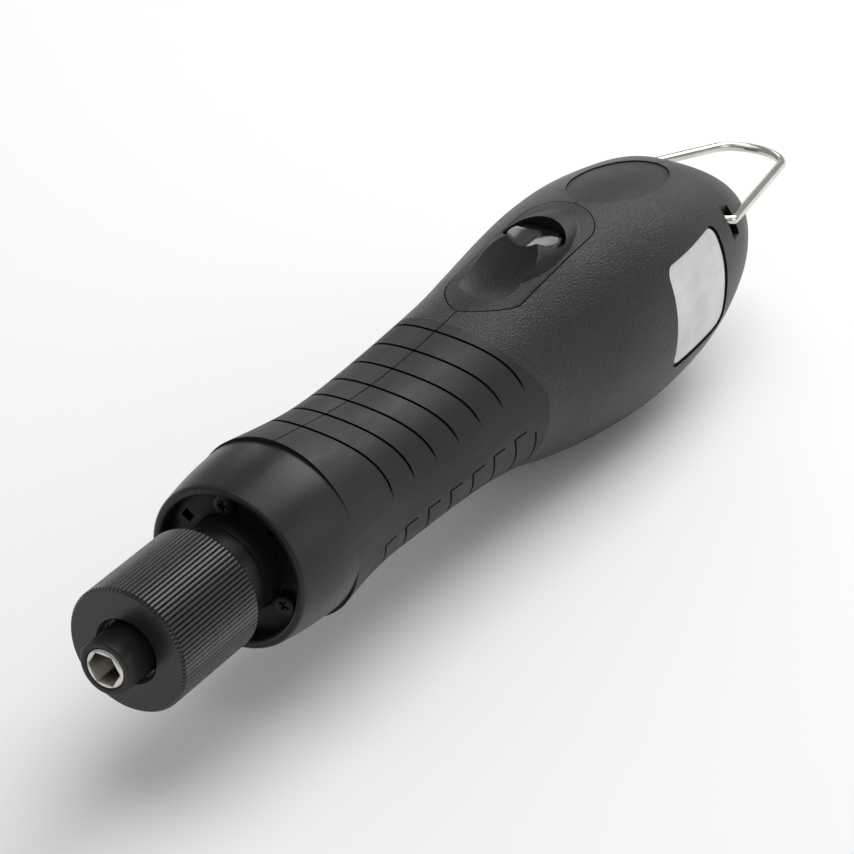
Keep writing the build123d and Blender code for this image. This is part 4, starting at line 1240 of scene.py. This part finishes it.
class SCREWDRIVER_OT_stage(bpy.types.Operator):
    """Sets up the pale floor, the soft lights and the camera"""

    bl_idname = "screwdriver.stage"
    bl_label = "Studio"

    def execute(self, context):
        start_clean()
        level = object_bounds()[0][2] - FLOOR_GAP
        bpy.ops.mesh.primitive_plane_add(size=12, location=(0.1, 0, level))
        floor = settle(bpy.context.object, "studio_floor")
        pale = bpy.data.materials.new("pale_floor")
        pale.use_nodes = True
        shader = pale.node_tree.nodes["Principled BSDF"]
        shader.inputs["Base Color"].default_value = FLOOR_COLOUR
        shader.inputs["Roughness"].default_value = 0.9
        shader.inputs["Specular IOR Level"].default_value = 0.1
        floor.data.materials.append(pale)
        floor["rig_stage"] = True

        world = bpy.data.worlds.new("studio")
        context.scene.world = world
        world.use_nodes = True
        background = world.node_tree.nodes["Background"]
        background.inputs["Color"].default_value = (1, 1, 1, 1)
        background.inputs["Strength"].default_value = WORLD_STRENGTH

        for name, place, aim, size, power in LAMPS:
            light = bpy.data.lights.new(name, "AREA")
            light.shape = "SQUARE"
            light.size = size
            light.energy = power
            lamp = bpy.data.objects.new(name, light)
            lamp.location = place
            lamp.rotation_euler = (Vector(aim) - Vector(place)).to_track_quat("-Z", "Y").to_euler()
            context.scene.collection.objects.link(lamp)

        view = bpy.data.cameras.new("camera")
        view.lens = CAMERA_LENS
        view.sensor_width = 36
        view.clip_start = 0.01
        camera = bpy.data.objects.new("camera", view)
        camera.location = CAMERA_PLACE
        camera.rotation_euler = Vector(CAMERA_AIM).to_track_quat("-Z", "Y").to_euler()
        context.scene.collection.objects.link(camera)
        context.scene.camera = camera
        context.scene.view_settings.view_transform = "Standard"
        return {"FINISHED"}


STEPS = (
    SCREWDRIVER_OT_handle_forms,
    SCREWDRIVER_OT_rubber_grip,
    SCREWDRIVER_OT_shell_halves,
    SCREWDRIVER_OT_switch_panel,
    SCREWDRIVER_OT_direction_rocker,
    SCREWDRIVER_OT_label_and_pad,
    SCREWDRIVER_OT_front_cap,
    SCREWDRIVER_OT_torque_nut,
    SCREWDRIVER_OT_bit_holder,
    SCREWDRIVER_OT_hanging_bail,
    SCREWDRIVER_OT_connector,
    SCREWDRIVER_OT_inner_pieces,
    SCREWDRIVER_OT_stage,
)


class SCREWDRIVER_PT_pieces(bpy.types.Panel):
    """Lists the screwdriver's pieces and sizes in the sidebar"""

    bl_idname = "SCREWDRIVER_PT_pieces"
    bl_label = "Torque screwdriver"
    bl_space_type = "VIEW_3D"
    bl_region_type = "UI"
    bl_category = "Screwdriver"

    def draw(self, context):
        layout = self.layout
        for group in (context.scene.handle_sizes, context.scene.nut_sizes, context.scene.finish_colours):
            box = layout.box()
            for name in group.bl_rna.properties.keys():
                if name not in ("rna_type", "name"):
                    box.prop(group, name)
        for step in STEPS:
            layout.operator(step.bl_idname)


CLASSES = (HandleSizes, NutSizes, FinishColours, *STEPS, SCREWDRIVER_PT_pieces)


def register():
    """Adds the classes and the scene's settings."""
    for cls in CLASSES:
        bpy.utils.register_class(cls)
    bpy.types.Scene.handle_sizes = bpy.props.PointerProperty(type=HandleSizes)
    bpy.types.Scene.nut_sizes = bpy.props.PointerProperty(type=NutSizes)
    bpy.types.Scene.finish_colours = bpy.props.PointerProperty(type=FinishColours)


def unregister():
    """Takes the classes and the scene's settings away again."""
    for name in ("handle_sizes", "nut_sizes", "finish_colours"):
        delattr(bpy.types.Scene, name)
    for cls in reversed(CLASSES):
        bpy.utils.unregister_class(cls)


def main():
    """Registers the add-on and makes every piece."""
    register()
    mix_finishes()
    for step in STEPS:
        group, name = step.bl_idname.split(".")
        getattr(getattr(bpy.ops, group), name)()


if __name__ == "__main__":
    main()
